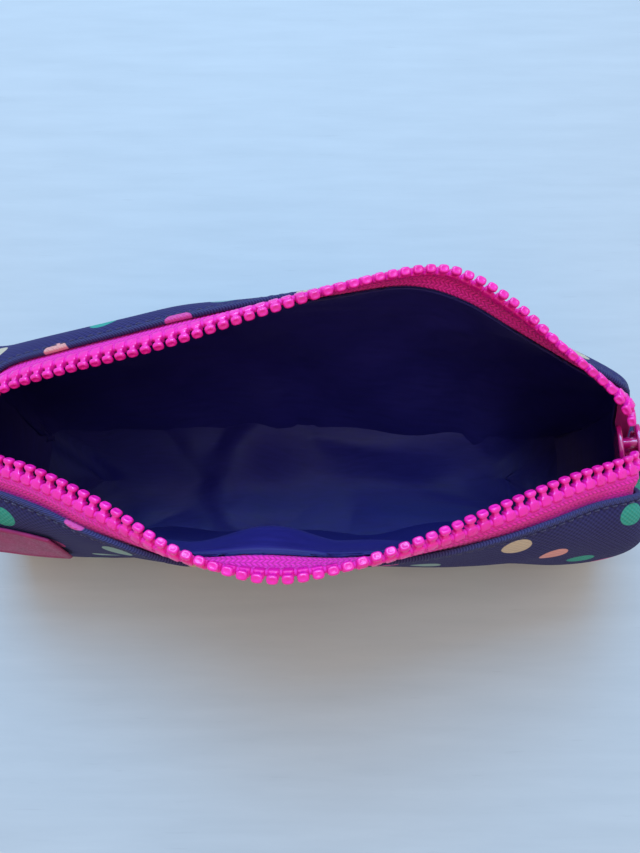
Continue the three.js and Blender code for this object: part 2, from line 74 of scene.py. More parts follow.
PATCH_U, PATCH_V, PATCH_THICK, PATCH_LIFT = (0.9, 3.3), (0.2, 0.46), 1.2, 0.55

# Plan of the two tooth rows while the mouth is open.
FRONT_ROW = [(-92, -3.6), (-79, -7.0), (-66, -11.3), (-47, -20.3), (-28, -30.7), (-8, -36.2),
             (9, -34.9), (30, -28.8), (50, -21.0), (69, -13.5), (82, -9.2), (88.5, -7.0)]
BACK_ROW = [(-92, 4.2), (-86.5, 9.6), (-79, 14.2), (-64, 17.2), (-35, 22.5), (-9, 30.1), (18, 38.5),
            (36, 42.4), (47, 40.3), (59, 33.0), (70, 23.9), (82, 15.0), (88.5, 8.8)]
ROW_ENTRY = [(90.7, 5.0, 76.5), (91.2, 3.6, 73.7)]      # into the slider's nose
STATIONS = [-80, -64, -46, -28, -9, 12, 32, 48, 62, 76]
# Rib numbers of the four upright seams.
FRONT_LEFT, FRONT_RIGHT, BACK_RIGHT, BACK_LEFT, ALL_ROUND = 0, 13, 17, 30, 34
SEAM = 0.03                         # half the seam gap, in rib spacings


# ---- Curves -------------------------------------------------------------------------------
def unit(vectors):
    return vectors / np.linalg.norm(vectors, axis=-1, keepdims=True)


def smoothstep(t):
    t = np.clip(t, 0, 1)
    return t * t * (3 - 2 * t)


def bump(t):
    return np.exp(-np.square(t))


def catmull(points, t, closed=False):
    """Catmull-Rom curve through points at t from 0 to 1."""
    points = np.asarray(points, float)
    count = len(points)
    if closed:
        place = (np.asarray(t, float) % 1.0) * count
        first = np.floor(place).astype(int)
        p0, p1, p2, p3 = (points[(first + k) % count] for k in (-1, 0, 1, 2))
    else:
        padded = np.concatenate([[2 * points[0] - points[1]], points, [2 * points[-1] - points[-2]]])
        place = np.clip(np.asarray(t, float), 0, 1) * (count - 1)
        first = np.minimum(np.floor(place).astype(int), count - 2)
        p0, p1, p2, p3 = (padded[first + k] for k in (0, 1, 2, 3))
    f = (place - first).reshape(place.shape + (1,) * (points.ndim - 1))
    return 0.5 * (2 * p1 + (p2 - p0) * f + (2 * p0 - 5 * p1 + 4 * p2 - p3) * f ** 2
                  + (3 * p1 - p0 - 3 * p2 + p3) * f ** 3)


def running_length(points, axis=0):
    steps = np.linalg.norm(np.diff(points, axis=axis), axis=-1)
    start = np.zeros_like(np.take(steps, [0], axis=axis))
    return np.cumsum(np.concatenate([start, steps], axis=axis), axis=axis)


def smoothed(rows, half, width):
    """A running average of rows, with bell-shaped weights."""
    weights = bump(np.arange(-half, half + 1) / width)
    weights /= weights.sum()
    padded = np.concatenate([np.repeat(rows[:1], half, 0), rows, np.repeat(rows[-1:], half, 0)])
    return sum(padded[k:k + len(rows)] * weight for k, weight in enumerate(weights))


def circle(count, radius_x=1.0, radius_y=None, centre_y=0.0):
    angle = np.arange(count) * math.tau / count
    radius_y = radius_x if radius_y is None else radius_y
    return np.stack([radius_x * np.cos(angle), centre_y + radius_y * np.sin(angle)], -1)


class Row:
    """The centre line of one row of teeth, with the direction in which its tape leaves it."""

    def __init__(self, sign, plan, lean_from, lean_rate, overhang, right_lean):
        self.sign, self.lean_from, self.lean_rate = sign, lean_from, lean_rate
        self.overhang, self.right_lean = overhang, right_lean
        points = [(x, y, RIM_APEX_Z - RIM_DROP * ((x - RIM_APEX_X) / RIM_REACH) ** 2) for x, y in plan]
        points += [(x, sign * y, z) for x, y, z in ROW_ENTRY]
        self.points = catmull(points, np.linspace(0, 1, 3001))
        self.run = running_length(self.points)
        self.length = self.run[-1]
        self.tangents = unit(np.gradient(self.points, self.run, axis=0))

    def frames(self, distance):
        """Point, tangent, outward and up directions at distances along the row."""
        d = np.atleast_1d(distance)
        point = np.stack([np.interp(d, self.run, self.points[:, k]) for k in range(3)], -1)
        tangent = unit(np.stack([np.interp(d, self.run, self.tangents[:, k]) for k in range(3)], -1))
        depth = np.abs(point[:, 1])
        lean = np.radians(25 + np.maximum(0, depth - self.lean_from) * self.lean_rate
                          + self.overhang * np.maximum(0, depth - 31) ** 2
                          + self.right_lean * smoothstep((point[:, 0] - 36) / 22))
        flat = unit(np.stack([-self.sign * tangent[:, 1], self.sign * tangent[:, 0]], -1))
        outward = np.concatenate([flat * np.cos(lean)[:, None], -np.sin(lean)[:, None]], -1)
        outward = unit(outward - tangent * np.sum(outward * tangent, -1, keepdims=True))
        side = np.array([0, self.sign, 0.0])
        side = unit(side - tangent * np.sum(side * tangent, -1, keepdims=True))
        share = np.clip((d / self.length - 0.93) / 0.05, 0, 1)[:, None]
        outward = unit(outward * (1 - share) + side * share)
        up = self.sign * unit(np.cross(tangent, outward))
        return point, tangent, outward, up

    def distance_at(self, x):
        last = int(len(self.run) * 0.95)
        return np.interp(x, self.points[:last, 0], self.run[:last])


ROWS = {
    "front": Row(-1, FRONT_ROW, lean_from=19, lean_rate=3.9, overhang=0.8, right_lean=0),
    "back": Row(1, BACK_ROW, lean_from=22.5, lean_rate=2.6, overhang=0.0, right_lean=34)}
SHOULDER_LIMIT = {-1: (33.0, 0.03), 1: (50.0, -0.11)}
SKEW = -0.03                        # the soft belly leans back at the left end


# ---- Sewn shell ---------------------------------------------------------------------------
def panel_rib(row, x):
    """A rib down the outside from hem to base, as the four points of a cubic curve."""
    spread, skew = abs(x) / 90, SKEW * x
    point, _, outward, _ = (a[0] for a in row.frames(row.distance_at(x)))
    hem = point + outward * TAPE_VISIBLE
    shoulder = hem + outward * SHOULDER_REACH
    middle, slope = SHOULDER_LIMIT[row.sign]
    shoulder[1] = row.sign * min(row.sign * shoulder[1], middle + slope * x)
    if row.sign > 0:
        shoulder[1] += 6 * smoothstep((x - 40) / 20)
    return [hem, shoulder,
            (x * 1.1, row.sign * (BELLY_HALF_DEPTH - 2.5 * spread) + skew, BELLY_Z),
            (x * 1.05, row.sign * (BASE_HALF_DEPTH - 2 * spread), FLOOR_Z)]


def right_end(s):
    """The two ribs beside the right gusset, on the front for s = -1 and on the back for s = 1."""
    return [
        [(90.2, s * 14.8, 75.6), (97, s * 30.5 - 1.5, 65), (101, s * 31 - 2, 21), (92.5, s * 25.2, FLOOR_Z)],
        [(94.6, s * 11.0, 65.5), (104.5, s * 27 - 2, 59), (111, s * 27.5 - 2, 22), (99, s * 22.4, FLOOR_Z)]]


def left_end(s):
    """The two ribs beside the left gusset, in the same way."""
    return [
        [(-90.3, s * 12.3, 72.6), (-97, s * 37 + 9, 71), (-102, s * 31 + 2, 21), (-92.5, s * 25.2, FLOOR_Z)],
        [(-95.6, s * 11.0, 71.2), (-105.5, s * 30 + 5, 67), (-112, s * 27.5 + 2, 22),
         (-99, s * 22.4, FLOOR_Z)]]


RIGHT_GUSSET = [
    [(97.3, -7.6, 57.0), (108, -20, 53), (116.5, -21, 22), (102.5, -16, FLOOR_Z)],
    [(98.4, 0, 54.5), (110.5, -1, 50), (118.5, -1, 22), (103.4, 0, FLOOR_Z)],
    [(97.3, 7.6, 57.0), (108, 18, 53), (116.5, 19, 22), (102.5, 16, FLOOR_Z)]]
LEFT_GUSSET = [
    [(-97.0, 7.0, 70.8), (-108.5, 20.5, 62), (-117.5, 21, 22), (-102.5, 16, FLOOR_Z)],
    [(-97.4, 0, 70.6), (-110, 1, 61.5), (-119.5, 1, 22), (-103.4, 0, FLOOR_Z)],
    [(-97.0, -7.0, 70.8), (-108.5, -18.5, 62), (-117.5, -19, 22), (-102.5, -16, FLOOR_Z)]]
RIBS = np.array([[tuple(p) for p in rib] for rib in (
    left_end(-1)[::-1] + [panel_rib(ROWS["front"], x) for x in STATIONS] + right_end(-1) + RIGHT_GUSSET
    + right_end(1)[::-1] + [panel_rib(ROWS["back"], x) for x in STATIONS][::-1] + left_end(1) + LEFT_GUSSET)],
    float)
PROBE = 0.01


def shell(u, v):
    """Outer face of the bag: u is the rib number round the bag, v runs from hem 0 to base 1."""
    turn = np.asarray(u, float) / len(RIBS)
    a, b, c, d = (catmull(RIBS[:, k], turn, True) for k in range(4))
    v = np.asarray(v, float)[..., None]
    w = 1 - v
    return a * w ** 3 + b * 3 * w * w * v + c * 3 * w * v * v + d * v ** 3


def shell_normal(u, v):
    along = shell(u + PROBE, v) - shell(u - PROBE, v)
    down = shell(u, np.minimum(v + PROBE, 1)) - shell(u, np.maximum(v - PROBE, 0))
    return -unit(np.cross(along, down))


def waves(points, drop):
    """How far the slack cloth stands out at points, each drop below the hem."""
    x, y, z = np.moveaxis(points, -1, 0)
    soft = (0.9 * np.sin(x / 15 + z / 24 + 1.2 * np.sin(x / 37 + 1))
            + 0.55 * np.sin(x / 8.2 - z / 10.5 + 1.6 * np.sin(z / 19 + y / 23))
            + 0.5 * np.sin(y / 7.5 + z / 13 + np.sin(x / 21)))
    return 0.55 * soft * smoothstep((drop - 6) / 16)


class Wall:
    """A patch of the shell sampled on a grid: rows run down from the hem, columns round the bag.
    along and drop are each point's distances along and down the cloth, which the print and the
    weave need."""

    def __init__(self, us, near, rest):
        us = np.asarray(us, float)
        fine = np.linspace(0, 1, 301)
        run = running_length(shell(us[:, None], fine[None, :]), axis=1)
        near = np.asarray(near, float)
        shares = np.linspace(0, 1, rest + 1)[1:]
        drops = np.stack([np.concatenate([near, near[-1] + (r[-1] - near[-1]) * shares]) for r in run])
        v = np.stack([np.interp(d, r, fine) for d, r in zip(drops, run)])
        self.drop = drops.T
        self.u = np.repeat(us[None, :], len(self.drop), 0)
        self.v = v.T
        base = shell(self.u, self.v)
        self.normal = shell_normal(self.u, self.v)
        self.point = base + self.normal * waves(base, self.drop)[..., None]
        beside_hem = running_length(shell(us, np.full_like(us, 0.15)))
        each_row = running_length(base, axis=1)
        middle = len(us) // 2
        wider = each_row - each_row[:, middle:middle + 1] - (beside_hem - beside_hem[middle])
        self.along = beside_hem - beside_hem[-1] / 2 + wider * smoothstep((self.drop - 8) / 20)

    def at_depth(self, depth):
        return self.point - self.normal * np.asarray(depth)[..., None] * np.ones(self.drop.shape)[..., None]


def seam_to_seam(start, end, spacing=0.052):
    """Column positions, closer together beside the seams."""
    close = np.array([0, 0.012, 0.026, 0.042, 0.062, 0.088])
    count = int((end - start) / spacing)
    middle = np.linspace(start + SEAM + 0.12, end - SEAM - 0.12, count)
    return np.concatenate([start + SEAM + close, middle, (end - SEAM - close)[::-1]])


# ---- Mesh making --------------------------------------------------------------------------
def make_object(name, points, faces, material, uv=None, sharp=None):
    """A mesh object from points in millimetres, its faces turned to point out."""
    mesh = bpy.data.meshes.new(name)
    mesh.from_pydata((np.asarray(points, float).reshape(-1, 3) * MM).tolist(), [], faces)
    if uv is not None:
        layer = mesh.uv_layers.new(name="cloth")
        corners = np.zeros(len(mesh.loops), np.int32)
        mesh.loops.foreach_get("vertex_index", corners)
        layer.data.foreach_set("uv", (np.asarray(uv, float).reshape(-1, 2)[corners] * MM).ravel())
    work = bmesh.new()
    work.from_mesh(mesh)
    bmesh.ops.recalc_face_normals(work, faces=work.faces)
    work.to_mesh(mesh)
    work.free()
    mesh.polygons.foreach_set("use_smooth", [True] * len(mesh.polygons))
    if sharp is not None:
        mesh.set_sharp_from_angle(angle=math.radians(sharp))
    mesh.materials.append(material)
    made = bpy.data.objects.new(name, mesh)
    bpy.context.scene.collection.objects.link(made)
    return made


def grid_faces(rows, columns, first=0, closed=False):
    """Quads over a grid of points; closed joins the last column to the first."""
    wide = columns if closed else columns - 1
    r, c = np.meshgrid(np.arange(rows - 1), np.arange(wide), indexing="ij")
    r, c = r.ravel(), c.ravel()
    right = (c + 1) % columns

    def at(row, column):
        return first + row * columns + column

    return np.stack([at(r, c), at(r, right), at(r + 1, right), at(r + 1, c)], -1).tolist()


def sheet_faces(rows, columns):
    """Faces of a closed sheet whose two matching grids follow each other."""
    size = rows * columns
    border = ([c for c in range(columns)] + [r * columns + columns - 1 for r in range(1, rows)]
              + [(rows - 1) * columns + c for c in range(columns - 2, -1, -1)]
              + [r * columns for r in range(rows - 2, 0, -1)])
    rim = [[a, b, size + b, size + a] for a, b in zip(border, border[1:] + border[:1])]
    return grid_faces(rows, columns) + grid_faces(rows, columns, size) + rim


def ring_faces(rows, columns):
    """Faces of two matching grids that run all round, joined along their first rows."""
    size = rows * columns
    rim = [[c, (c + 1) % columns, size + (c + 1) % columns, size + c] for c in range(columns)]
    return grid_faces(rows, columns, 0, True) + grid_faces(rows, columns, size, True) + rim


def sheet(name, outer, inner, material, place):
    rows, columns = outer.shape[:2]
    points = np.concatenate([outer.reshape(-1, 3), inner.reshape(-1, 3)])
    uv = np.concatenate([place.reshape(-1, 2)] * 2)
    return make_object(name, points, sheet_faces(rows, columns), material, uv)


def loft(rings, first=0):
    """Faces that join equal rings of points and close both ends."""
    rows, columns = len(rings), len(rings[0])
    ends = [list(range(first, first + columns)),
            list(range(first + (rows - 1) * columns, first + rows * columns))]
    return grid_faces(rows, columns, first, closed=True) + ends


def tube_rings(path, radius, sides, flatten=1.0):
    """Rings round a path whose radius may change from point to point."""
    tangent = unit(np.gradient(path, axis=0))
    side = unit(np.cross(tangent, [0.13, 0.21, 1.0]))
    up = np.cross(side, tangent)
    angle = np.arange(sides) * 2 * math.pi / sides
    radius = np.broadcast_to(np.asarray(radius, float), (len(path),))[:, None, None]
    ring = np.cos(angle)[None, :, None] * side[:, None] + np.sin(angle)[None, :, None] * up[:, None] * flatten
    return path[:, None] + ring * radius


def fillet(corners, radius, steps=5):
    """An outline with its corners rounded."""
    corners = np.asarray(corners, float)
    points = []
    for before, corner, after in zip(np.roll(corners, 1, 0), corners, np.roll(corners, -1, 0)):
        a, b = before - corner, after - corner
        reach = min(radius, 0.45 * np.linalg.norm(a), 0.45 * np.linalg.norm(b))
        start, end = corner + unit(a) * reach, corner + unit(b) * reach
        for t in np.linspace(0, 1, steps):
            points.append(start * (1 - t) ** 2 + 2 * corner * t * (1 - t) + end * t ** 2)
    return np.array(points)


def inset(outline, distance):
    """The outline moved inwards, or a hole's outline moved outwards, by distance."""
    edge = unit(np.roll(outline, -1, 0) - outline)
    normal = np.stack([-edge[:, 1], edge[:, 0]], -1)
    mitre = unit(normal + np.roll(normal, 1, 0))
    stretch = np.clip(np.sum(mitre * normal, -1, keepdims=True), 0.5, 1)
    return outline + mitre * distance / stretch


def slab(outlines, low, high, round_off, steps=4):
    """A plate with rounded edges: the first outline runs anticlockwise, holes run clockwise."""
    points, faces = [], []
    caps = {low: [], high: []}
    for outline in outlines:
        rings = []
        for k in range(steps + 1):
            angle = math.pi / 2 * k / steps
            shrunk = inset(outline, round_off * (1 - math.sin(angle)))
            rings.append((shrunk, low + round_off * (1 - math.cos(angle))))
        mirrored = [(ring, low + high - z) for ring, z in reversed(rings)]
        stack = rings + mirrored
        first = len(points)
        for ring, z in stack:
            points += [(x, y, z) for x, y in ring]
        faces += grid_faces(len(stack), len(outline), first, closed=True)
        caps[low].append(range(first, first + len(outline)))
        caps[high].append(range(first + (len(stack) - 1) * len(outline), len(points)))
    for loops in caps.values():
        order = [i for loop in loops for i in loop]
        shapes = [[(points[i][0], points[i][1], 0.0) for i in loop] for loop in loops]
        faces += [[order[i] for i in corner] for corner in tessellate_polygon(shapes)]
    return np.array(points), faces


def placed(points, origin, x_axis, y_axis, z_axis):
    return origin + points @ np.stack([x_axis, y_axis, z_axis])


def join(parts):
    """Several (points, faces) pairs as one."""
    points, faces, count = [], [], 0
    for p, f in parts:
        points.append(np.asarray(p, float).reshape(-1, 3))
        faces += [[i + count for i in face] for face in f]
        count += len(points[-1])
    return np.concatenate(points), faces


# ---- Materials ----------------------------------------------------------------------------
KNIT_START, LANE_WIDTH, CHEVRON_PITCH, CHEVRON_SLANT = 4.1, 1.05, 1.3, 0.75    # zip tape, in mm


class Finish:
    """A node material; constants sit on the shader's own sockets."""

    def __init__(self, name, **constants):
        self.material = bpy.data.materials.new(name)
        self.material.use_nodes = True
        self.tree = self.material.node_tree
        self.shader = self.tree.nodes["Principled BSDF"]
        for socket, value in constants.items():
            self.shader.inputs[socket.replace("_", " ")].default_value = value

    def node(self, kind, inputs=None, **settings):
        made = self.tree.nodes.new("ShaderNode" + kind)
        for key, value in settings.items():
            setattr(made, key, value)
        for key, value in (inputs or {}).items():
            self.feed(made.inputs[key], value)
        return made

    def feed(self, socket, value):
        if isinstance(value, bpy.types.NodeSocket):
            self.tree.links.new(value, socket)
        else:
            socket.default_value = value

    def math(self, operation, a, b=0.0, clamp=False):
        return self.node("Math", {0: a, 1: b}, operation=operation, use_clamp=clamp).outputs[0]

    def times(self, a, b, clamp=False):
        return self.math("MULTIPLY", a, b, clamp)

    def plus(self, a, b):
        return self.math("ADD", a, b)

    def minus(self, a, b):
        return self.math("SUBTRACT", a, b)

    def sine(self, angle):
        return self.math("SINE", angle)

    def scaled(self, value, factor, offset):
        return self.node("Math", {0: value, 1: factor, 2: offset}, operation="MULTIPLY_ADD").outputs[0]

    def mix(self, factor, a, b):
        made = self.node("Mix", {0: factor, 6: a, 7: b}, data_type="RGBA")
        return made.outputs[2]

    def ramp(self, factor, stops, constant=False):
        made = self.node("ValToRGB", {0: factor})
        elements = made.color_ramp.elements
        made.color_ramp.interpolation = "CONSTANT" if constant else "LINEAR"
        while len(elements) < len(stops):
            elements.new(0.5)
        for element, (place, colour) in zip(elements, stops):
            element.position = place
            element.color = colour
        return made.outputs[0]

    def noise(self, vector, scale, detail=3.0, roughness=0.5):
        return self.node("TexNoise", {"Vector": vector, "Scale": scale, "Detail": detail,
                                      "Roughness": roughness}).outputs[0]

    def place(self, source="UV"):
        """Coordinates in metres: the cloth's own, or the object's."""
        vector = self.node("TexCoord").outputs[source]
        return vector, self.node("SeparateXYZ", {0: vector}).outputs

    def relief(self, height, depth, strength=1.0):
        made = self.node("Bump", {"Height": height, "Distance": depth, "Strength": strength})
        self.feed(self.shader.inputs["Normal"], made.outputs[0])

    def colour(self, value):
        self.feed(self.shader.inputs["Base Color"], value)

    def roughness(self, value):
        self.feed(self.shader.inputs["Roughness"], value)


def grey(value):
    return (value, value, value, 1)


# The spots are printed on a slanting lattice, and their colours repeat across it.
SPOT_STEP_A, SPOT_STEP_B, SPOT_RADIUS = (22.5, -12.0), (12.5, 11.5), 4.2
SPOT_COLOURS = [(0.80, 0.36, 0.33), (0.015, 0.36, 0.27), (0.72, 0.07, 0.36), (0.25, 0.42, 0.40),
                (0.62, 0.52, 0.38)]
WEAVE = 0.00085                     # metres from yarn to yarn


def canvas_finish(name, origin, phase):
    """Navy oxford canvas with printed spots; origin is one spot's place on the cloth."""
    made = Finish(name, Roughness=0.85, Sheen_Weight=0.10, Sheen_Roughness=0.45,
                  Sheen_Tint=(0.45, 0.55, 1.0, 1), Specular_IOR_Level=0.12)
    vector, (s, t, _) = made.place()
    # Over-and-under yarns, with a finer thread line inside each yarn.
    across = made.sine(made.times(s, math.tau / WEAVE / 2))
    down = made.sine(made.times(t, math.tau / WEAVE / 2))
    cross = made.times(across, down)
    fine = made.sine(made.times(made.plus(s, t), math.tau / 0.00028))
    uneven = made.noise(vector, 900.0, 2.0)
    height = made.plus(made.times(cross, 0.5), made.times(fine, 0.10))
    height = made.plus(height, made.times(uneven, 0.5))
    # The folded hem shows the yarns on the slant, and its colour is painted lighter where they turn over the
    # edge: a painted highlight where the fold catches the light.
    fold = made.math("LESS_THAN", t, 0.0012)
    twist = made.sine(made.times(made.plus(s, made.times(t, 1.1)), math.tau / 0.0008))
    height = made.plus(height, made.times(made.times(fold, twist), 0.3))
    made.relief(height, 0.00022, 0.9)
    # Painted light on the weave: lit is high on the yarn crowns, where the yarn colour is painted lighter,
    # with painted shade in the hollows between yarns.
    lit = made.scaled(cross, 0.5, 0.5)
    mottle = made.noise(vector, 60.0, 4.0)
    yarn = made.mix(lit, (0.011, 0.010, 0.060, 1), (0.042, 0.038, 0.175, 1))
    yarn = made.mix(made.times(mottle, 0.45), yarn, (0.026, 0.022, 0.085, 1))
    # Painted highlight: the hem band's lighter colour, streaked along the slanting yarns.
    edge = made.mix(made.scaled(twist, 0.5, 0.5), (0.020, 0.020, 0.075, 1), (0.075, 0.080, 0.20, 1))
    yarn = made.mix(made.times(fold, 0.7), yarn, edge)
    # Nearest point of the spot lattice, in millimetres.
    (ax, ay), (bx, by) = SPOT_STEP_A, SPOT_STEP_B
    area = ax * by - ay * bx
    x = made.scaled(s, 1 / MM, -origin[0])
    y = made.scaled(t, 1 / MM, -origin[1])
    i = made.plus(made.times(x, by / area), made.times(y, -bx / area))
    j = made.plus(made.times(x, -ay / area), made.times(y, ax / area))
    near_i, near_j = made.math("ROUND", i), made.math("ROUND", j)
    off_i, off_j = made.minus(i, near_i), made.minus(j, near_j)
    dx = made.plus(made.times(off_i, ax), made.times(off_j, bx))
    dy = made.plus(made.times(off_i, ay), made.times(off_j, by))
    away = made.math("SQRT", made.plus(made.times(dx, dx), made.times(dy, dy)))
    ragged = made.times(made.plus(cross, made.minus(uneven, 0.5)), 0.05)
    short_of_rim = made.minus(SPOT_RADIUS, made.plus(away, ragged))
    inside = made.times(short_of_rim, 4.0, True)
    order = made.times(made.plus(made.plus(near_i, near_j), phase + 1000.0), 0.2)
    order = made.math("FRACT", made.plus(order, 0.02))
    print_colour = made.ramp(order, [(k / 5, (*colour, 1)) for k, colour in enumerate(SPOT_COLOURS)], True)
    # Painted light on the spots: a painted highlight on the lit yarn crowns, then painted shade in the
    # hollows between yarns.
    shaded_print = made.mix(made.times(lit, 0.06), print_colour, (0.9, 0.85, 0.85, 1))
    shaded_print = made.mix(made.times(made.minus(1.0, lit), 0.14), shaded_print, (0.05, 0.04, 0.10, 1))
    made.colour(made.mix(inside, yarn, shaded_print))
    return made.material


def lining_finish():
    made = Finish("lining_satin", Roughness=0.5, Sheen_Weight=0.10, Sheen_Roughness=0.35,
                  Sheen_Tint=(0.30, 0.36, 1.0, 1), Specular_IOR_Level=0.28, Anisotropic=0.4)
    vector, (s, t, _) = made.place()
    twill = made.sine(made.times(made.plus(s, t), math.tau / 0.00042))
    slub = made.noise(made.node("Mapping", {"Vector": vector, "Scale": (1, 6, 1)}).outputs[0], 120.0, 4.0)
    height = made.plus(made.times(twill, 0.3), made.times(slub, 0.6))
    made.relief(height, 0.00012, 0.55)
    made.colour(made.mix(slub, (0.009, 0.008, 0.090, 1), (0.021, 0.018, 0.185, 1)))
    made.roughness(made.ramp(slub, [(0.2, grey(0.42)), (0.8, grey(0.56))]))
    return made.material


def tape_finish():
    """Knitted tape: fine ribs by the teeth, then lanes of slanting cords that meet in chevrons, with painted
    shade in the knit's valleys.
    """
    made = Finish("zip_tape_knit", Roughness=0.7, Sheen_Weight=0.3, Sheen_Roughness=0.4,
                  Sheen_Tint=(1.0, 0.35, 0.75, 1), Specular_IOR_Level=0.35)
    vector, (s, t, _) = made.place()
    lane = made.math("DIVIDE", made.minus(t, KNIT_START * MM), LANE_WIDTH * MM)
    slant = made.math("ABSOLUTE", made.minus(made.math("FLOORED_MODULO", lane, 2.0), 1.0))
    turn = made.plus(made.math("DIVIDE", s, CHEVRON_PITCH * MM), made.times(slant, CHEVRON_SLANT))
    cord = made.math("ABSOLUTE", made.sine(made.times(turn, math.pi)))
    edge = made.math("ABSOLUTE", made.sine(made.times(lane, math.pi)))
    chunky = made.times(made.math("POWER", cord, 0.6), made.math("POWER", edge, 0.25))
    rib = made.sine(made.times(s, math.tau / 0.00062))
    row = made.sine(made.times(t, math.tau / 0.00055))
    ribs = made.scaled(made.times(rib, row), 0.25, 0.7)
    outer = made.math("GREATER_THAN", t, KNIT_START * MM)
    height = made.plus(made.times(chunky, outer), made.times(ribs, made.minus(1.0, outer)))
    fuzz = made.noise(vector, 3000.0, 3.0)
    made.relief(made.plus(height, made.times(fuzz, 0.35)), 0.00028, 1.0)
    base = made.mix(fuzz, (0.90, 0.012, 0.42, 1), (1.0, 0.030, 0.56, 1))
    # Painted shade: the colour darkens where the knit is low, in the valleys between cords and ribs.
    made.colour(made.mix(made.times(made.minus(1.0, height), 0.8, True), base, (0.55, 0.004, 0.20, 1)))
    return made.material


def plastic_finish(name, dark, light, roughness, coat, grain=700.0, relief=0.00003):
    """Moulded plastic: slightly clouded colour, fine orange-peel and rubbed high spots."""
    made = Finish(name, Specular_IOR_Level=0.5, Coat_Weight=coat, Coat_Roughness=0.12,
                  Subsurface_Weight=0.12, Subsurface_Radius=(0.0012, 0.0003, 0.0006), Subsurface_Scale=1.0)
    vector, _ = made.place("Object")
    cloud = made.noise(vector, 220.0, 3.0)
    peel = made.noise(vector, grain, 2.0)
    made.colour(made.mix(made.ramp(cloud, [(0.3, grey(0)), (0.7, grey(1))]), (*dark, 1), (*light, 1)))
    made.roughness(made.ramp(peel, [(0.3, grey(roughness * 0.8)), (0.7, grey(roughness * 1.3))]))
    made.relief(peel, relief, 0.5)
    return made.material


def thread_finish():
    made = Finish("stitch_thread", Roughness=0.7, Sheen_Weight=0.3, Specular_IOR_Level=0.3)
    vector, _ = made.place("Object")
    ply = made.node("TexWave", {"Vector": vector, "Scale": 900.0, "Distortion": 1.0},
                    bands_direction="DIAGONAL").outputs[1]
    made.relief(ply, 0.00005, 0.6)
    made.colour(made.mix(ply, (0.014, 0.013, 0.055, 1), (0.045, 0.045, 0.14, 1)))
    return made.material


def floor_finish():
    made = Finish("pale_table", Roughness=0.62, Specular_IOR_Level=0.3)
    vector, _ = made.place("Object")
    stretched = made.node("Mapping", {"Vector": vector, "Scale": (1.0, 9.0, 1.0)}).outputs[0]
    grain = made.noise(stretched, 18.0, 8.0, 0.62)
    flecks = made.noise(made.node("Mapping", {"Vector": vector, "Scale": (1, 14, 1)}).outputs[0], 60.0, 4.0)
    shade = made.ramp(grain, [(0.3, (0.44, 0.49, 0.54, 1)), (0.7, (0.48, 0.53, 0.58, 1))])
    fleck = made.ramp(flecks, [(0.66, grey(0)), (0.74, grey(0.35))])
    made.colour(made.mix(fleck, shade, (0.38, 0.42, 0.47, 1)))
    made.relief(grain, 0.0002, 0.12)
    return made.material


PINK_DARK, PINK_LIGHT = (0.82, 0.006, 0.33), (0.97, 0.016, 0.46)
FINISHES = {
    "front": canvas_finish("canvas_front", origin=(-83.5, 8.9), phase=1),
    "back": canvas_finish("canvas_back", origin=(-81.0, 22.0), phase=0),
    "gusset": canvas_finish("canvas_gusset", origin=(4.0, 18.0), phase=2),
    "base": canvas_finish("canvas_base", origin=(-60.0, 5.0), phase=3),
    "lining": lining_finish(),
    "tape": tape_finish(),
    "teeth": plastic_finish("moulded_teeth", PINK_DARK, PINK_LIGHT, roughness=0.30, coat=0.25),
    # Painted shade: the slider's pink is a darker copy of the pull's and the teeth's.
    "slider": plastic_finish("shaded_lacquered_slider", (0.42, 0.004, 0.13), (0.60, 0.010, 0.22),
                             roughness=0.16, coat=0.7),
    "pull": plastic_finish("moulded_pull", (0.76, 0.006, 0.29), (0.90, 0.014, 0.40),
                           roughness=0.2, coat=0.5),
    "patch": plastic_finish("rubber_patch", (0.24, 0.006, 0.085), (0.32, 0.010, 0.12),
                            roughness=0.5, coat=0.0, grain=1500.0, relief=0.00006),
    "thread": thread_finish(),
}

# ---- Canvas -------------------------------------------------------------------------------
HEM_ROWS = [0, 0.05, 0.14, 0.28, 0.45, 0.65, 0.9, 1.15, 1.4, 1.6, 1.75, 1.9, 2.05, 2.2, 2.4,
            2.8, 3.4, 4.2, 5.0]
FOLD_WIDTH, FOLD_RISE, EDGE_RADIUS = 1.5, 0.34, 0.55


def beside_seam(wall, depth, width):
    """Inward dip along both seams of a wall."""
    along = running_length(wall.point[12])
    from_seam = np.minimum(along, along[-1] - along)
    return depth * bump(from_seam / width)[None, :]


def hem_profile(drop):
    """Depths of a folded hem's outer and inner faces."""
    nose = np.clip(EDGE_RADIUS - drop, 0, None)
    round_off = EDGE_RADIUS - np.sqrt(np.clip(EDGE_RADIUS ** 2 - nose ** 2, 0.0004, None))
    raised = FOLD_RISE * smoothstep((FOLD_WIDTH + 0.35 - drop) / 0.5)
    groove = 0.16 * bump((drop - FOLD_WIDTH - 0.35) / 0.22)
    return round_off - raised + groove, CANVAS_THICK - round_off - raised * 0.2


def canvas_wall(name, start, end, finish, thread):
    wall = Wall(seam_to_seam(start, end), HEM_ROWS, 84)
    near, far = hem_profile(wall.drop)
    dip = beside_seam(wall, 0.75, 1.3)
    foot = 0.5 * bump((wall.drop[-1] - wall.drop) / 1.2)
    place = np.stack([wall.along if start < BACK_RIGHT else -wall.along, wall.drop], -1)
    made = sheet(name, wall.at_depth(near + dip + foot), wall.at_depth(far), finish, place)
    return made, hem_stitches(name + "_topstitch", wall, thread)


STITCH_LENGTH, STITCH_PITCH, STITCH_RADIUS = 2.1, 2.8, 0.2


def hem_stitches(name, wall, material):
    """The line of stitches that holds the folded hem."""
    row = int(np.argmin(np.abs(np.array(HEM_ROWS) - FOLD_WIDTH - 0.35)))
    path = wall.at_depth(np.full(wall.drop.shape, -0.02))[row]
    return stitch_line(name, path, wall.normal[row], material)


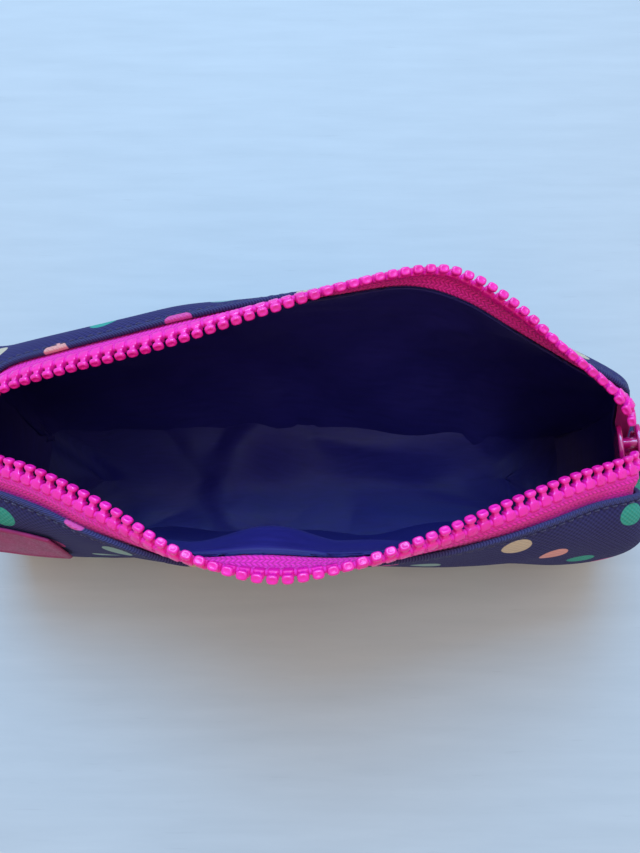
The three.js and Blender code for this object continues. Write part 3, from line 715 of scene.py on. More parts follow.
def stitch_line(name, path, normal, material):
    run = running_length(path)
    parts = []
    shape = np.linspace(-1, 1, 7)
    for start in np.arange(1.5, run[-1] - STITCH_LENGTH - 1.5, STITCH_PITCH):
        d = start + (shape + 1) / 2 * STITCH_LENGTH
        line = np.stack([np.interp(d, run, path[:, k]) for k in range(3)], -1)
        up = np.stack([np.interp(d, run, normal[:, k]) for k in range(3)], -1)
        line = line + up * (0.16 - 0.34 * shape ** 4)[:, None]
        tip = np.where(np.abs(shape) > 0.99, 0.45, 1)
        radius = STITCH_RADIUS * np.sqrt(np.clip(1.02 - shape ** 6, 0, 1)) * tip
        rings = tube_rings(line, radius, 7)
        parts.append((rings.reshape(-1, 3), loft(rings)))
    return make_object(name, *join(parts), material)


def base_plate(name, bottom, thick, edge_inset, material):
    """A flat panel as a fan of rows from its edge to the middle line."""
    us = np.arange(0, ALL_ROUND, 0.09)
    edge = shell(us, np.ones_like(us))
    normal = shell_normal(us, np.ones_like(us))
    normal[:, 2] = 0
    edge = edge - unit(normal) * edge_inset
    middle = np.stack([np.clip(edge[:, 0], -72, 72), 0 * us, 0 * us], -1)
    shares = np.array([0, 0.006, 0.014, 0.03, 0.08, 0.2, 0.4, 0.6, 0.8, 0.94])
    flat = np.stack([edge * (1 - k) + middle * k for k in shares])
    drop = np.array([0.5, 0.2, 0.05, 0, 0, 0, 0, 0, 0, 0]) * min(1.0, thick)
    low, high = flat.copy(), flat.copy()
    low[..., 2] = bottom + drop[:, None]
    high[..., 2] = bottom + thick - drop[:, None]
    count = len(us)
    points = np.concatenate([low.reshape(-1, 3), high.reshape(-1, 3)])
    size = len(shares) * count
    faces = ring_faces(len(shares), count)
    inner = (len(shares) - 1) * count
    faces += [[inner + c for c in range(count)], [size + inner + c for c in range(count)]]
    return make_object(name, points, faces, material, points[:, :2])


# ---- Zip tapes ----------------------------------------------------------------------------
EDGE_STATIONS = [-93.4, -90.3, *STATIONS, 88.4]
TAPE_LAST = len(EDGE_STATIONS) - 1
TAPE_END = TAPE_LAST + 1.9
KNIT_RISE = 0.22


def edge_line(row, stations, offset):
    """Points of the tape at an offset from the tooth line, and the direction out of the cloth."""
    x = np.interp(stations, np.arange(TAPE_LAST + 1), EDGE_STATIONS)
    point, _, outward, up = row.frames(row.distance_at(np.maximum(x, -91.9)))
    edge = point + outward * offset
    edge[:, 0] += np.minimum(0, x + 91.9)
    start, _, start_out, _ = row.frames(row.length * 0.985)
    first = (start + start_out * offset)[0]
    last = np.array([97.2, row.sign * offset, 57.2])
    share = np.clip((stations - TAPE_LAST) / 1.6, 0, 1)[:, None]
    past = (stations > TAPE_LAST)[:, None]
    edge = np.where(past, first * (1 - share) + last * share, edge)
    turn = smoothstep(stations - TAPE_LAST + 0.5)[:, None]
    return edge, unit(up * (1 - turn) + np.array([0.94, 0, 0.342]) * turn)


# ---- Lining -------------------------------------------------------------------------------
LINING_EDGE = 4.3                   # from the tooth line to the edge of the lining
SPINE_REACH = 70.0                  # half length of the line where front and back floors meet
PANEL_COLUMNS, GUSSET_COLUMNS = 150, 36
SEWN_ROWS, WALL_ROWS, FLOOR_ROWS = 6, 56, 26
ROWS_BESIDE_HEM = [0, 1.2, 2.4, 3.6, 5, 7, 9]
FOOT_ROW = SEWN_ROWS + len(ROWS_BESIDE_HEM) + WALL_ROWS - 1      # where the wall meets the floor


def sewn_edge(columns, down):
    """Rows that carry the lining up the inside of both tapes, close to the teeth."""
    top = down[0] + unit(down[0] - down[1]) * 0.5
    for row, station in ((ROWS["front"], columns), (ROWS["back"], BACK_LEFT - columns)):
        line, up = edge_line(row, np.clip(station, 0, TAPE_LAST), LINING_EDGE)
        line = line - up * 0.75
        share = smoothstep(station / 0.8) * smoothstep((TAPE_LAST + 0.6 - station) / 1.2)
        top = top * (1 - share[:, None]) + line * share[:, None]
    steps = np.linspace(0, 1, SEWN_ROWS + 1)[:-1, None, None]
    return top * (1 - steps) + down[0] * steps


def lining_grid():
    """Outer face of the lining: columns run all round, rows from the zip down and over the floor."""
    columns = np.concatenate([np.linspace(a, b, n, endpoint=False) for a, b, n in (
        (FRONT_LEFT, FRONT_RIGHT, PANEL_COLUMNS), (FRONT_RIGHT, BACK_RIGHT, GUSSET_COLUMNS),
        (BACK_RIGHT, BACK_LEFT, PANEL_COLUMNS), (BACK_LEFT, ALL_ROUND, GUSSET_COLUMNS))])
    wall = Wall(columns, ROWS_BESIDE_HEM, WALL_ROWS)
    down = wall.at_depth(np.full(wall.drop.shape, LINING_DEPTH))
    down = np.concatenate([sewn_edge(columns, down), down])
    share = np.select([columns < FRONT_RIGHT, columns < BACK_RIGHT, columns < BACK_LEFT],
                      [columns / FRONT_RIGHT, 1.0, (BACK_LEFT - columns) / FRONT_RIGHT], 0.0)
    spine = np.stack([SPINE_REACH * (2 * share - 1), 0 * share, 0 * share + LINING_FLOOR_Z], -1)
    foot = down[-1].copy()
    foot[:, 2] = LINING_FLOOR_Z
    floor = np.stack([foot * (1 - k) + spine * k for k in np.linspace(0, 1, FLOOR_ROWS + 1)[1:]])
    rows = np.concatenate([down, floor])
    # The corner is rounded, but the top edge and the line where the floors meet stay where they are.
    number = np.arange(len(rows))[:, None, None]
    fade = smoothstep((number - 12) / 14) * (1 - smoothstep((number - len(rows) + 9) / 8))
    rows = rows * (1 - fade) + smoothed(rows, 9, 4.5) * fade
    across = np.repeat(running_length(wall.point[8])[None, :], len(rows), 0)
    return rows, np.stack([across, running_length(rows)], -1), columns


def weld(piece, distance=0.02):
    """Merges the points that meet along the lining's floor line."""
    work = bmesh.new()
    work.from_mesh(piece.data)
    bmesh.ops.remove_doubles(work, verts=work.verts, dist=distance * MM)
    bmesh.ops.recalc_face_normals(work, faces=work.faces)
    work.to_mesh(piece.data)
    work.free()


# Loose folds of the floor: the crest in plan, its height, and how far each side slopes away,
# first to the left of the crest's direction and then to its right.
FOLDS = [
    ([(-4, 30), (-16, 18), (-28, 3), (-26, -10), (-16, -24)], 7.5, 17, 7),
    ([(0, 20), (22, 12), (44, 7), (66, -2), (92, -6)], 7.5, 20, 6),
    ([(60, 34), (66, 20), (72, 8), (88, -4)], 7.0, 15, 6),
    ([(-78, 12), (-62, 2), (-54, -16)], 4.5, 14, 8),
    ([(18, -14), (40, -20), (74, -20)], 5.0, 9, 8),
    ([(24, 40), (38, 34), (50, 36)], 3.2, 6, 5),
    ([(2, 38), (26, 30), (52, 20), (70, 10)], 4.5, 10, 7),
    ([(-50, 26), (-40, 12), (-44, -6)], 3.5, 12, 6),
]


def fold_height(points):
    """How far the folds stand up from the cloth below them, at each point's place in plan."""
    plan = points[..., :2].reshape(-1, 2)
    total = np.zeros(len(plan))
    for crest, height, left_width, right_width in FOLDS:
        line = catmull(np.array(crest, float), np.linspace(0, 1, 61))
        heading = unit(np.gradient(line, axis=0))
        away = plan[:, None, :] - line[None, :, :]
        distance = np.linalg.norm(away, axis=-1)
        nearest = np.argmin(distance, axis=1)
        each = np.arange(len(plan))
        turn = heading[nearest, 0] * away[each, nearest, 1] - heading[nearest, 1] * away[each, nearest, 0]
        width = np.where(turn > 0, left_width, right_width)
        fading = 0.12 + 0.88 * np.sin(np.pi * nearest / 60) ** 0.8
        rise = height * fading * bump(distance[each, nearest] / width) ** 0.8
        total = np.maximum(total, rise) + 0.25 * np.minimum(total, rise)
    return total.reshape(points.shape[:-1])


CREASE_X, CREASE_Z, CREASE_RADIUS = 47, 58, 8       # a ring-like crease high on the back wall
BAND_DROP, BAND_WIDTH, BAND_RISE = 18, 9.5, 3.4     # the loose band under the front hem
CORNER_RISE, CORNER_WIDTH = 7.5, 24                 # where the lining bridges wall and floor


def lining_slack(points, down, columns):
    """How far the lining stands off the bag: floor folds, wall ripples and the loose front band."""
    below = smoothstep((down - 7) / 14)
    floor = 1 - smoothstep((points[..., 2] - 22) / 40)
    x, _, z = np.moveaxis(points, -1, 0)
    ripples = 0.5 * (1 + np.sin(x / 9 + z / 7)) + 0.35 * np.sin(x / 4.6 - z / 9 + 1.5 * np.sin(z / 15))
    ripples = ripples + 0.5 * bump((np.hypot(x - CREASE_X, z - CREASE_Z) - CREASE_RADIUS) / 3.5)
    front = smoothstep((columns - 2.5) / 2.5) * smoothstep((12.6 - columns) / 1.5)
    band = front * bump((down - BAND_DROP - 2 * np.sin(x / 17)) / BAND_WIDTH)
    band = band * (BAND_RISE + 0.9 * np.sin(x / 11 + 1))
    corner = CORNER_RISE + 1.2 * np.sin(columns * 1.3 + 0.6)
    corner = corner * bump((down - down[FOOT_ROW]) / CORNER_WIDTH)
    return (fold_height(points) * floor + ripples + corner) * below + band


# The lining is cut larger than the bag, and it drops under its own weight.
SIM_SCALE = 10.0                    # cloth is simulated ten times larger, where its limits suit it
SIM_FRAMES, SIM_SLACK = 60, 0.07
SIM_ROW_STEP, SIM_COLUMN_STEP = 2, 3
SIM_PINNED_ROWS, SIM_FADING_ROWS = 7, 4
WALL_CLEARANCE = 1.9                # depth of the surface that holds the lining
WALL_MARGIN = 0.5                   # the lining stays this far inside that surface
AXIS_Z = 45.0                       # height of a line through the middle of the bag's inside


def weld_map(grid):
    """One index for each distinct point of a grid, and the grid's index into them."""
    keys = np.round(grid.reshape(-1, 3), 2)
    _, first, where = np.unique(keys, axis=0, return_index=True, return_inverse=True)
    return first, where.ravel()


def merged_faces(faces, where):
    kept = []
    for face in faces:
        corners = list(dict.fromkeys(int(where[i]) for i in face))
        if len(corners) > 2:
            kept.append(corners)
    return kept


def holding_shell():
    """The inside of the canvas, which the lining lies against."""
    wall = Wall(np.linspace(0, ALL_ROUND, 137)[:-1], [0, 4, 8, 12], 24)
    down = wall.at_depth(np.full(wall.drop.shape, WALL_CLEARANCE))
    foot = down[-1] * (1, 1, 0) + (0, 0, FLOOR_Z - 0.2)
    middle = np.stack([np.clip(foot[:, 0], -80, 80), 0 * foot[:, 1], foot[:, 2]], -1)
    rows = np.concatenate([down, [foot * (1 - k) + middle * k for k in (0.05, 0.4, 0.8)]])
    faces = grid_faces(*rows.shape[:2], closed=True)
    last = (rows.shape[0] - 1) * rows.shape[1]
    return rows.reshape(-1, 3), faces + [list(range(last, last + rows.shape[1]))]


def settle(grid):
    """Lets the lining drop inside the bag and returns the grid where it comes to rest."""
    coarse = grid[::SIM_ROW_STEP, ::SIM_COLUMN_STEP]
    rows, columns = coarse.shape[:2]
    first, where = weld_map(coarse)
    faces = merged_faces(grid_faces(rows, columns, closed=True), where)
    plain = bpy.data.materials.new("unseen")
    cloth = make_object("sim_cloth", coarse.reshape(-1, 3)[first] * SIM_SCALE, faces, plain)
    shell_points, shell_faces = holding_shell()
    wall = make_object("sim_wall", shell_points * SIM_SCALE, shell_faces, plain)
    pins = cloth.vertex_groups.new(name="pins")
    row_of = first // columns
    for row in range(SIM_PINNED_ROWS + SIM_FADING_ROWS):
        members = [int(i) for i in np.nonzero(row_of == row)[0]]
        held = (SIM_PINNED_ROWS + SIM_FADING_ROWS - row) / SIM_FADING_ROWS
        pins.add(members, min(1.0, held), "REPLACE")
    wall.modifiers.new("hold", "COLLISION")
    wall.collision.thickness_outer = 0.004
    wall.collision.damping = 0.6
    wall.collision.cloth_friction = 12.0
    fall = cloth.modifiers.new("fall", "CLOTH")
    fall.settings.vertex_group_mass = "pins"
    fall.settings.quality = 6
    fall.settings.mass = 0.25
    fall.settings.tension_stiffness = fall.settings.compression_stiffness = 12.0
    fall.settings.shear_stiffness = 3.0
    fall.settings.bending_stiffness = 0.08
    fall.settings.air_damping = 2.0
    fall.settings.shrink_min = -SIM_SLACK
    fall.collision_settings.distance_min = 0.005
    fall.collision_settings.use_self_collision = False
    fall.point_cache.frame_start, fall.point_cache.frame_end = 1, SIM_FRAMES
    for number in range(1, SIM_FRAMES + 1):
        bpy.context.scene.frame_set(number)
    shape = cloth.evaluated_get(bpy.context.evaluated_depsgraph_get()).to_mesh()
    settled = np.zeros(len(first) * 3, np.float32)
    shape.vertices.foreach_get("co", settled)
    bpy.context.scene.frame_set(1)
    bpy.data.objects.remove(cloth)
    bpy.data.objects.remove(wall)
    settled = kept_inside(settled.reshape(-1, 3).astype(float) / MM / SIM_SCALE, shell_points, shell_faces)
    moved = settled[where].reshape(coarse.shape) - coarse
    moved = catmull(moved, np.linspace(0, 1, grid.shape[0]))
    moved = catmull(np.swapaxes(moved, 0, 1), np.arange(grid.shape[1]) / grid.shape[1], closed=True)
    return grid + np.swapaxes(moved, 0, 1)


def kept_inside(points, shell_points, shell_faces):
    """Pushes back what slipped through the wall, and keeps it above the floor."""
    tree = BVHTree.FromPolygons([Vector(p) for p in shell_points], shell_faces)
    kept = points.copy()
    for n, point in enumerate(points):
        hit, normal, _, _ = tree.find_nearest(Vector(point))
        to_middle = Vector((-hit.x * 0.3, -hit.y, 40 - hit.z))
        if normal.dot(to_middle) < 0:
            normal = -normal
        if (Vector(point) - hit).dot(normal) < WALL_MARGIN:
            kept[n] = hit + normal * WALL_MARGIN
    kept[:, 2] = np.maximum(kept[:, 2], LINING_FLOOR_Z)
    return kept


def inward(grid):
    """Directions out of the lining, into the bag."""
    normal = np.cross(np.roll(grid, -1, 1) - np.roll(grid, 1, 1), np.gradient(grid, axis=0))
    normal[-1] = (0, 0, 1)
    axis = np.stack([np.clip(grid[..., 0], -SPINE_REACH, SPINE_REACH), 0 * grid[..., 1],
                     0 * grid[..., 2] + AXIS_Z], -1)
    facing = np.sum(normal * (axis - grid), -1, keepdims=True)
    return unit(normal * np.where(facing < 0, -1, 1) + 1e-9)


def without_ridge(grid, columns, reach=16):
    """Smooths the floor across the line where its front and back halves meet."""
    count = len(columns)
    mirror = (int(np.argmin(np.abs(columns - BACK_LEFT))) - np.arange(count)) % count
    line = np.concatenate([grid[-reach:], grid[-reach:-1, mirror][::-1]])
    smooth = smoothed(line, 6, 6.5)[:reach]
    share = np.where(columns < FRONT_RIGHT, columns, BACK_LEFT - columns) / FRONT_RIGHT
    within = smoothstep(np.clip(np.minimum(share, 1 - share), 0, 1) / 0.08)
    weight = smoothstep(np.arange(reach) / 9)[:, None] * within[None, :]
    result = grid.copy()
    result[-reach:] += (smooth - grid[-reach:]) * weight[..., None]
    return result


def build_lining(material):
    outer, place, around = lining_grid()
    outer = settle(outer)
    outer = outer + inward(outer) * lining_slack(outer, place[..., 1], around[None, :])[..., None]
    outer = without_ridge(outer, around)
    outer[..., 2] = np.maximum(outer[..., 2], LINING_FLOOR_Z)
    rows, columns = outer.shape[:2]
    inner = outer + inward(outer) * LINING_THICK
    points = np.concatenate([outer.reshape(-1, 3), inner.reshape(-1, 3)])
    uv = np.concatenate([place.reshape(-1, 2)] * 2)
    made = make_object("lining", points, ring_faces(rows, columns), material, uv)
    weld(made)
    return made


def knit(s, k):
    """Height of the tape's surface from 0 to 1, in step with its material."""
    ribs = 0.7 + 0.25 * np.sin(math.tau * s / 0.62) * np.sin(math.tau * k / 0.55)
    lane = (k - KNIT_START) / LANE_WIDTH
    cord = np.abs(np.sin(np.pi * (s / CHEVRON_PITCH + np.abs(lane % 2 - 1) * CHEVRON_SLANT)))
    chunky = cord ** 0.6 * np.abs(np.sin(np.pi * lane)) ** 0.25
    return np.where(k > KNIT_START, chunky, ribs)


def build_tape(name, row, material):
    stations = np.linspace(-0.15, TAPE_END, 1100)
    inner, up = edge_line(row, np.maximum(stations, 0), BEAD_OFFSET - 0.2)
    middle, _ = edge_line(row, np.maximum(stations, 0), 4.4)
    u = FRONT_LEFT + stations if row.sign < 0 else BACK_LEFT - stations
    wall = Wall(u, [0, 2.4, 5.2], 1)
    under = wall.at_depth(np.full(wall.drop.shape, TAPE_DEPTH))
    spine = np.stack([inner, middle, under[0], under[1], under[2]])
    across = catmull(spine, np.linspace(0, 1, 49))
    s = np.repeat(running_length(middle)[None, :], len(across), 0)
    k = BEAD_OFFSET + running_length(across)
    normal = np.cross(np.gradient(across, axis=1), np.gradient(across, axis=0))
    normal = unit(normal) * np.sign(np.sum(normal * up[None], -1, keepdims=True))
    height = KNIT_RISE * (knit(s, k)[..., None] - 0.6)
    near = across + normal * (TAPE_THICK / 2 + height)
    far = across - normal * (TAPE_THICK / 2 + height * 0.4)
    return sheet(name, near, far, material, np.stack([s, k], -1))


# ---- Teeth --------------------------------------------------------------------------------
# Sections of a tooth from its body, round the bead cord, to its rounded head: place along the
# tooth, width along the chain, height, and how square the section is.
TOOTH_SECTIONS = [
    (-2.98, 1.7, 1.3, 4), (-2.90, 2.3, 1.9, 5), (-2.72, 2.68, 2.2, 6), (-2.45, 2.82, 2.35, 6),
    (-1.0, 2.80, 2.35, 6), (-0.75, 2.66, 2.25, 6), (-0.58, 2.25, 2.0, 5), (-0.42, 1.65, 1.75, 4),
    (0.30, 1.45, 1.6, 4), (0.55, 1.6, 1.65, 3), (0.74, 2.1, 1.9, 3), (0.98, 2.6, 2.2, 2.8),
    (1.28, 2.86, 2.36, 2.8), (1.62, 2.84, 2.34, 2.8), (1.9, 2.6, 2.1, 2.8), (2.06, 2.2, 1.75, 2.8),
    (2.12, 1.75, 1.35, 2.8), (2.06, 1.3, 0.95, 2.6), (2.0, 0.7, 0.5, 2.4)]


def tooth_rings():
    c, s = circle(20).T
    rings = []
    for along, width, height, square in TOOTH_SECTIONS:
        x = np.sign(c) * np.abs(c) ** (2 / square) * width / 2
        z = np.sign(s) * np.abs(s) ** (2 / square) * height / 2
        rings.append(np.stack([x, np.full(20, along), z], -1))
    return np.stack(rings)


TOOTH_RINGS = tooth_rings()
TOOTH_FACES = loft(TOOTH_RINGS)
CLOSED_OFFSET = 1.25                # distance of a tooth row from the middle once the zip is closed
FAR = 50                            # a far anchor, so that a flattening towards it would carry a tooth without bending it


def build_teeth(side, row, stagger, material):
    """Separate teeth, each returned with an anchor far across the bag, beyond the place its row takes once
    the zip is closed.
    """
    count = int((row.length - 2) / TOOTH_PITCH)
    distance = 1.6 + (np.arange(count) + stagger) * TOOTH_PITCH
    point, tangent, outward, _ = row.frames(distance)
    made = []
    for n in range(count):
        third = np.cross(tangent[n], -outward[n])
        points = placed(TOOTH_RINGS.reshape(-1, 3), point[n], tangent[n], -outward[n], third)
        tooth = make_object(f"{side}_tooth_{n + 1:02d}", points, TOOTH_FACES, material)
        shift = row.sign * CLOSED_OFFSET - point[n][1]
        made.append((tooth, point[n][1] + FAR * shift))
    return made


def build_bead(name, row, material):
    d = np.linspace(0.01, 0.99, 520) * row.length
    point, _, outward, _ = row.frames(d)
    radius = BEAD_RADIUS * (1 + 0.06 * np.sin(math.tau * d / 1.1))
    radius[0] = radius[-1] = BEAD_RADIUS * 0.6
    rings = tube_rings(point + outward * BEAD_OFFSET, radius, 12)
    return make_object(name, rings.reshape(-1, 3), loft(rings), material)


# ---- Slider, pull and stops ---------------------------------------------------------------
def direction(degrees):
    return np.array([math.cos(math.radians(degrees)), 0, math.sin(math.radians(degrees))])


FORWARD = direction(SLIDER_FORWARD_DEG)
OUTWARD = np.array([FORWARD[2], 0, -FORWARD[0]])
ACROSS = np.array([0, 1.0, 0])


def on_slider(points):
    return placed(points, SLIDER_CENTRE, ACROSS, FORWARD, OUTWARD)


def block(width, length, height, x, y, z, round_off=0.25):
    left, right, near, far = x - width / 2, x + width / 2, y - length / 2, y + length / 2
    outline = fillet([(left, near), (right, near), (right, far), (left, far)], min(width, length) * 0.3)
    return slab([outline], z - height / 2, z + height / 2, round_off)


def plate_outline():
    nose, wide, narrow = SLIDER_LENGTH / 2, SLIDER_NOSE_WIDTH / 2, SLIDER_TAIL_WIDTH / 2
    half = [(narrow - 0.3, -nose), (narrow, -nose + 1.6), (narrow + 0.2, -1), (wide, 3.4),
            (wide - 0.6, nose - 1.4), (2.0, nose)]
    return fillet(half + [(-x, y) for x, y in reversed(half)], 1.4)


def build_slider(material):
    half = SLIDER_CHANNEL / 2
    outline = plate_outline()
    parts = [slab([outline], half, half + SLIDER_PLATE, 0.45),
             slab([outline], -half - SLIDER_PLATE, -half, 0.45)]
    raised = inset(outline, 1.5)
    parts.append(slab([raised], half + SLIDER_PLATE - 0.1, half + SLIDER_PLATE + 0.22, 0.2))
    post = circle(24, radius_x=1.5, radius_y=2.25, centre_y=SLIDER_LENGTH / 2 - 2.6)
    parts.append(slab([post], -half - 0.3, half + 0.3, 0.1))
    for across in (-1, 1):
        for level in (-1, 1):
            parts.append(block(width=0.75, length=8.2, height=1.3, round_off=0.2,
                               x=across * (SLIDER_TAIL_WIDTH / 2 - 0.35), y=-3.0, z=level * half))
    points, faces = join(parts)
    return make_object("slider_body_shell", on_slider(points), faces, material, sharp=38)


def build_crown(material):
    """The bridge over the slider that holds the pull."""
    half, top, bar = CROWN_LENGTH / 2, CROWN_HEIGHT, 1.0
    outline = fillet([(-half, 0), (-half + bar, 0), (-half + bar, top - bar), (half - bar, top - bar),
                      (half - bar, 0), (half, 0), (half, top), (-half, top)], 1.3, 7)
    points, faces = slab([outline], -CROWN_WIDTH / 2, CROWN_WIDTH / 2, 0.4)
    foot = SLIDER_CHANNEL / 2 + SLIDER_PLATE + 0.22
    points = np.stack([points[:, 2], points[:, 0], points[:, 1] + foot], -1)
    return make_object("slider_crown_bridge", on_slider(points), faces, material, sharp=38)


PULL_EYE = 3.6                      # half width of the pull where it hangs on its bar
PULL_NECK = 7.5                     # from the bar to where the pull is full width
PULL_WINDOW, WINDOW_START, WINDOW_END = 2.0, 0.75, 5.6
PANEL_START, PANEL_MARGIN = 8.6, 1.3


def build_pull(material):
    half, inner, panel_end = PULL_WIDTH / 2, PULL_WIDTH / 2 - PANEL_MARGIN, PULL_LENGTH - 1.5
    outline = fillet([(-PULL_EYE, 0.6), (PULL_EYE, 0.6), (half, PULL_NECK), (half, PULL_LENGTH),
                      (-half, PULL_LENGTH), (-half, PULL_NECK)], 3.4, 8)
    window = fillet([(-PULL_WINDOW, WINDOW_START), (-PULL_WINDOW, WINDOW_END),
                     (PULL_WINDOW, WINDOW_END), (PULL_WINDOW, WINDOW_START)], 0.7)
    parts = [slab([outline, window], -PULL_THICK / 2, PULL_THICK / 2, 0.5)]
    panel = fillet([(-inner, PANEL_START), (inner, PANEL_START), (inner, panel_end), (-inner, panel_end)],
                   2.4, 8)
    step = inset(panel, 0.7)[::-1]
    for low in (-PULL_THICK / 2 - 0.22, PULL_THICK / 2 - 0.1):
        parts.append(slab([panel, step], low, low + 0.32, 0.12))
    points, faces = slab([circle(20, 0.88)], -PULL_EYE, PULL_EYE, 0.25)
    parts.append((np.stack([points[:, 2], points[:, 0], points[:, 1]], -1), faces))
    points, faces = join(parts)
    hanging = direction(PULL_REST_DEG)
    pivot = SLIDER_CENTRE + OUTWARD * PULL_PIVOT_HEIGHT
    points = placed(points, pivot, ACROSS, hanging, np.cross(ACROSS, hanging))
    return make_object("pull_tab_body", points, faces, material, sharp=38)


def build_end_chain(material):
    """Meshed teeth below the slider, down to the stop."""
    parts = []
    for n in range(6):
        side = 1 if n % 2 else -1
        along = -0.3 - n * TOOTH_PITCH / 2
        origin = np.array([side * 0.35, along, 0.0])
        points = placed(TOOTH_RINGS.reshape(-1, 3) * (0.8, 0.9, 0.9), origin, np.array([0, 1.0, 0]),
                        np.array([-side, 0, 0.0]), np.array([0, 0, 1.0]))
        parts.append((points, TOOTH_FACES))
    for side in (-1, 1):
        path = np.stack([np.full(40, side * 1.9), np.linspace(1, -9.1, 40), np.zeros(40)], -1)
        rings = tube_rings(path, 0.7, 10)
        parts.append((rings.reshape(-1, 3), loft(rings)))
    points, faces = join(parts)
    chain = make_object("end_chain", on_slider(points), faces, material)
    points, faces = block(width=5.6, length=1.6, height=3.2, round_off=0.45,
                          x=0, y=-SLIDER_LENGTH / 2 - 2.8, z=0)
    return chain, make_object("bottom_stop_bar", on_slider(points), faces, material, sharp=38)


def build_top_stop(name, row, material):
    point, tangent, outward, _ = (a[0] for a in row.frames(0.0))
    points, faces = block(width=2.4, length=5.0, height=3.0, round_off=0.5, x=-2.0, y=0.2, z=0)
    points = placed(points, point, tangent, outward, np.cross(tangent, outward))
    return make_object(name, points, faces, material, sharp=38)


# ---- Label patch --------------------------------------------------------------------------
def build_patch(material):
    """A plain moulded patch with a raised border, bent with the cloth behind it."""
    rows, columns = 46, 76
    b, a = np.meshgrid(np.linspace(-1, 1, rows), np.linspace(-1, 1, columns), indexing="ij")
    bulge = 0.35
    x, y = a * np.sqrt(1 - bulge * b * b / 2), b * np.sqrt(1 - bulge * a * a / 2)
    u = (PATCH_U[0] + PATCH_U[1]) / 2 + x * (PATCH_U[1] - PATCH_U[0]) / 2
    v = (PATCH_V[0] + PATCH_V[1]) / 2 + y * (PATCH_V[1] - PATCH_V[0]) / 2
    base, normal = shell(u, v), shell_normal(u, v)
    drop = running_length(base)
    base = base + normal * waves(base, drop + 12)[..., None]
    edge = np.minimum(1 - np.abs(a), (1 - np.abs(b)) * 0.75) * 17
    top = PATCH_LIFT + PATCH_THICK - 0.5 * bump(edge / 0.35) - 0.34 * smoothstep((edge - 1.9) / 0.5)
    top = top - 0.12 * bump((edge - 1.0) / 0.22)
    outer = base + normal * top[..., None]
    inner = base + normal * (PATCH_LIFT + 0.35 * bump(edge / 0.35))[..., None]
    return sheet("patch_moulding", outer, inner, material, np.stack([a, b], -1) * 17)


def soft(piece, slot, *nodes):
    """A cloth piece: it rides with the bag."""
    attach(piece, "bag")
    if nodes:
        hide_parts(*nodes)
    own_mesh(piece)


def hard(piece, body, slot, *nodes):
    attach(piece, body)
    if nodes:
        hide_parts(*nodes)


for label, start, end, finish in (("front_panel", FRONT_LEFT, FRONT_RIGHT, "front"),
                                  ("right_gusset", FRONT_RIGHT, BACK_RIGHT, "gusset"),
                                  ("back_panel", BACK_RIGHT, BACK_LEFT, "back"),
                                  ("left_gusset", BACK_LEFT, ALL_ROUND, "gusset")):
    cloth, stitches = canvas_wall(label + "_cloth", start, end, FINISHES[finish], FINISHES["thread"])
    soft(cloth, "canvas", label)
    soft(stitches, "canvas")
soft(base_plate("base_panel_cloth", 0.0, 1.2, 0.0, FINISHES["base"]), "canvas", "base_panel")
soft(build_lining(FINISHES["lining"]), "lining", "lining_front", "lining_back", "lining_left_end",
     "lining_right_end", "lining_base")
for side, row in ROWS.items():
    soft(build_tape(side + "_tape_cloth", row, FINISHES["tape"]), "zip_tape", side + "_zip_tape")
    soft(build_bead(side + "_bead_cord", row, FINISHES["tape"]), "zip_tape", side + "_tooth_row")
    for tooth, anchor_y in build_teeth(side, row, 0 if side == "front" else 0.5, FINISHES["teeth"]):
        hard(tooth, "bag", "zip_teeth")
        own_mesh(tooth)
    end_stop = build_top_stop(f"top_stop_{side}_block", row, FINISHES["teeth"])
    hard(end_stop, "bag", "zip_teeth", "top_stop_" + side)
chain, stop = build_end_chain(FINISHES["teeth"])
hard(chain, "bag", "zip_teeth", "zip_end_chain")
hard(stop, "bag", "zip_teeth", "bottom_stop")
hard(build_slider(FINISHES["slider"]), "slider", "slider", "slider_body")
hard(build_crown(FINISHES["slider"]), "slider", "slider", "slider_crown")
hard(build_pull(FINISHES["pull"]), "pull", "pull", "pull_tab")
soft(build_patch(FINISHES["patch"]), "patch", "label_patch")


# ---- Stage --------------------------------------------------------------------------------
FLOOR_REACH, FLOOR_DROP = 20000.0, 0.05


def build_floor():
    signs = ((-1, -1), (1, -1), (1, 1), (-1, 1))
    corners = [(x * FLOOR_REACH, y * FLOOR_REACH, -FLOOR_DROP) for x, y in signs]
    floor = make_object("floor", corners, [[0, 1, 2, 3]], floor_finish())


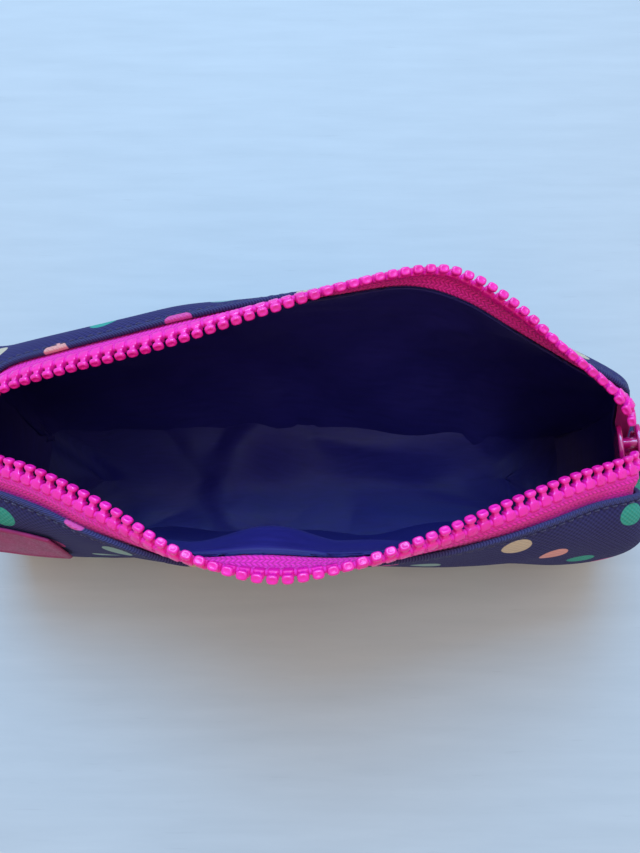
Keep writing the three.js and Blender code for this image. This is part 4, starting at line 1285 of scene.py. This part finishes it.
def area_light(name, place, target, size, power, colour):
    data = bpy.data.lights.new(name, "AREA")
    data.shape, data.size, data.size_y = "RECTANGLE", *size
    data.energy, data.color = power, colour
    light = bpy.data.objects.new(name, data)
    light.matrix_world = looking(place, target)
    bpy.context.scene.collection.objects.link(light)


def looking(place, target, top=(0, 0, 1)):
    back = unit(np.array(place, float) - np.array(target, float))
    right = unit(np.cross(top, back))
    above = np.cross(back, right)
    return Matrix([[right[k], above[k], back[k], place[k]] for k in range(3)] + [[0, 0, 0, 1]])


BAG_MIDDLE = (0, 0, 0.05)
ROOM_COLOUR, ROOM_STRENGTH = (0.80, 0.60, 0.43, 1), 0.97


def build_lights():
    """A cold window behind the bag, a weak ceiling light, and the warm light of the room."""
    area_light("window", (-0.10, 0.66, 1.08), BAG_MIDDLE, size=(0.8, 0.7), power=17.5,
               colour=(0.17, 0.58, 1.0))
    area_light("ceiling", (0.12, 0.05, 1.3), BAG_MIDDLE, size=(0.7, 0.5), power=4.6,
               colour=(0.45, 0.68, 0.92))
    world = bpy.data.worlds.new("room_light")
    world.use_nodes = True
    background = world.node_tree.nodes["Background"]
    background.inputs[0].default_value = ROOM_COLOUR
    background.inputs[1].default_value = ROOM_STRENGTH
    bpy.context.scene.world = world


CAMERA_PLACE = (6.3 * MM, -38.5 * MM, 244.3 * MM)
CAMERA_TILT_DEG = 76.0              # below the horizon
CAMERA_LENS, SENSOR = 27.01, 36.0


def build_camera():
    data = bpy.data.cameras.new("camera")
    data.lens, data.sensor_width = CAMERA_LENS, SENSOR
    data.clip_start, data.clip_end = 0.01, 10
    camera = bpy.data.objects.new("camera", data)
    tilt = math.radians(CAMERA_TILT_DEG)
    target = (CAMERA_PLACE[0], CAMERA_PLACE[1] + math.cos(tilt), CAMERA_PLACE[2] - math.sin(tilt))
    camera.matrix_world = looking(CAMERA_PLACE, target)
    bpy.context.scene.collection.objects.link(camera)
    bpy.context.scene.camera = camera


build_floor()
build_lights()
build_camera()
bpy.context.scene.view_settings.view_transform = "Standard"
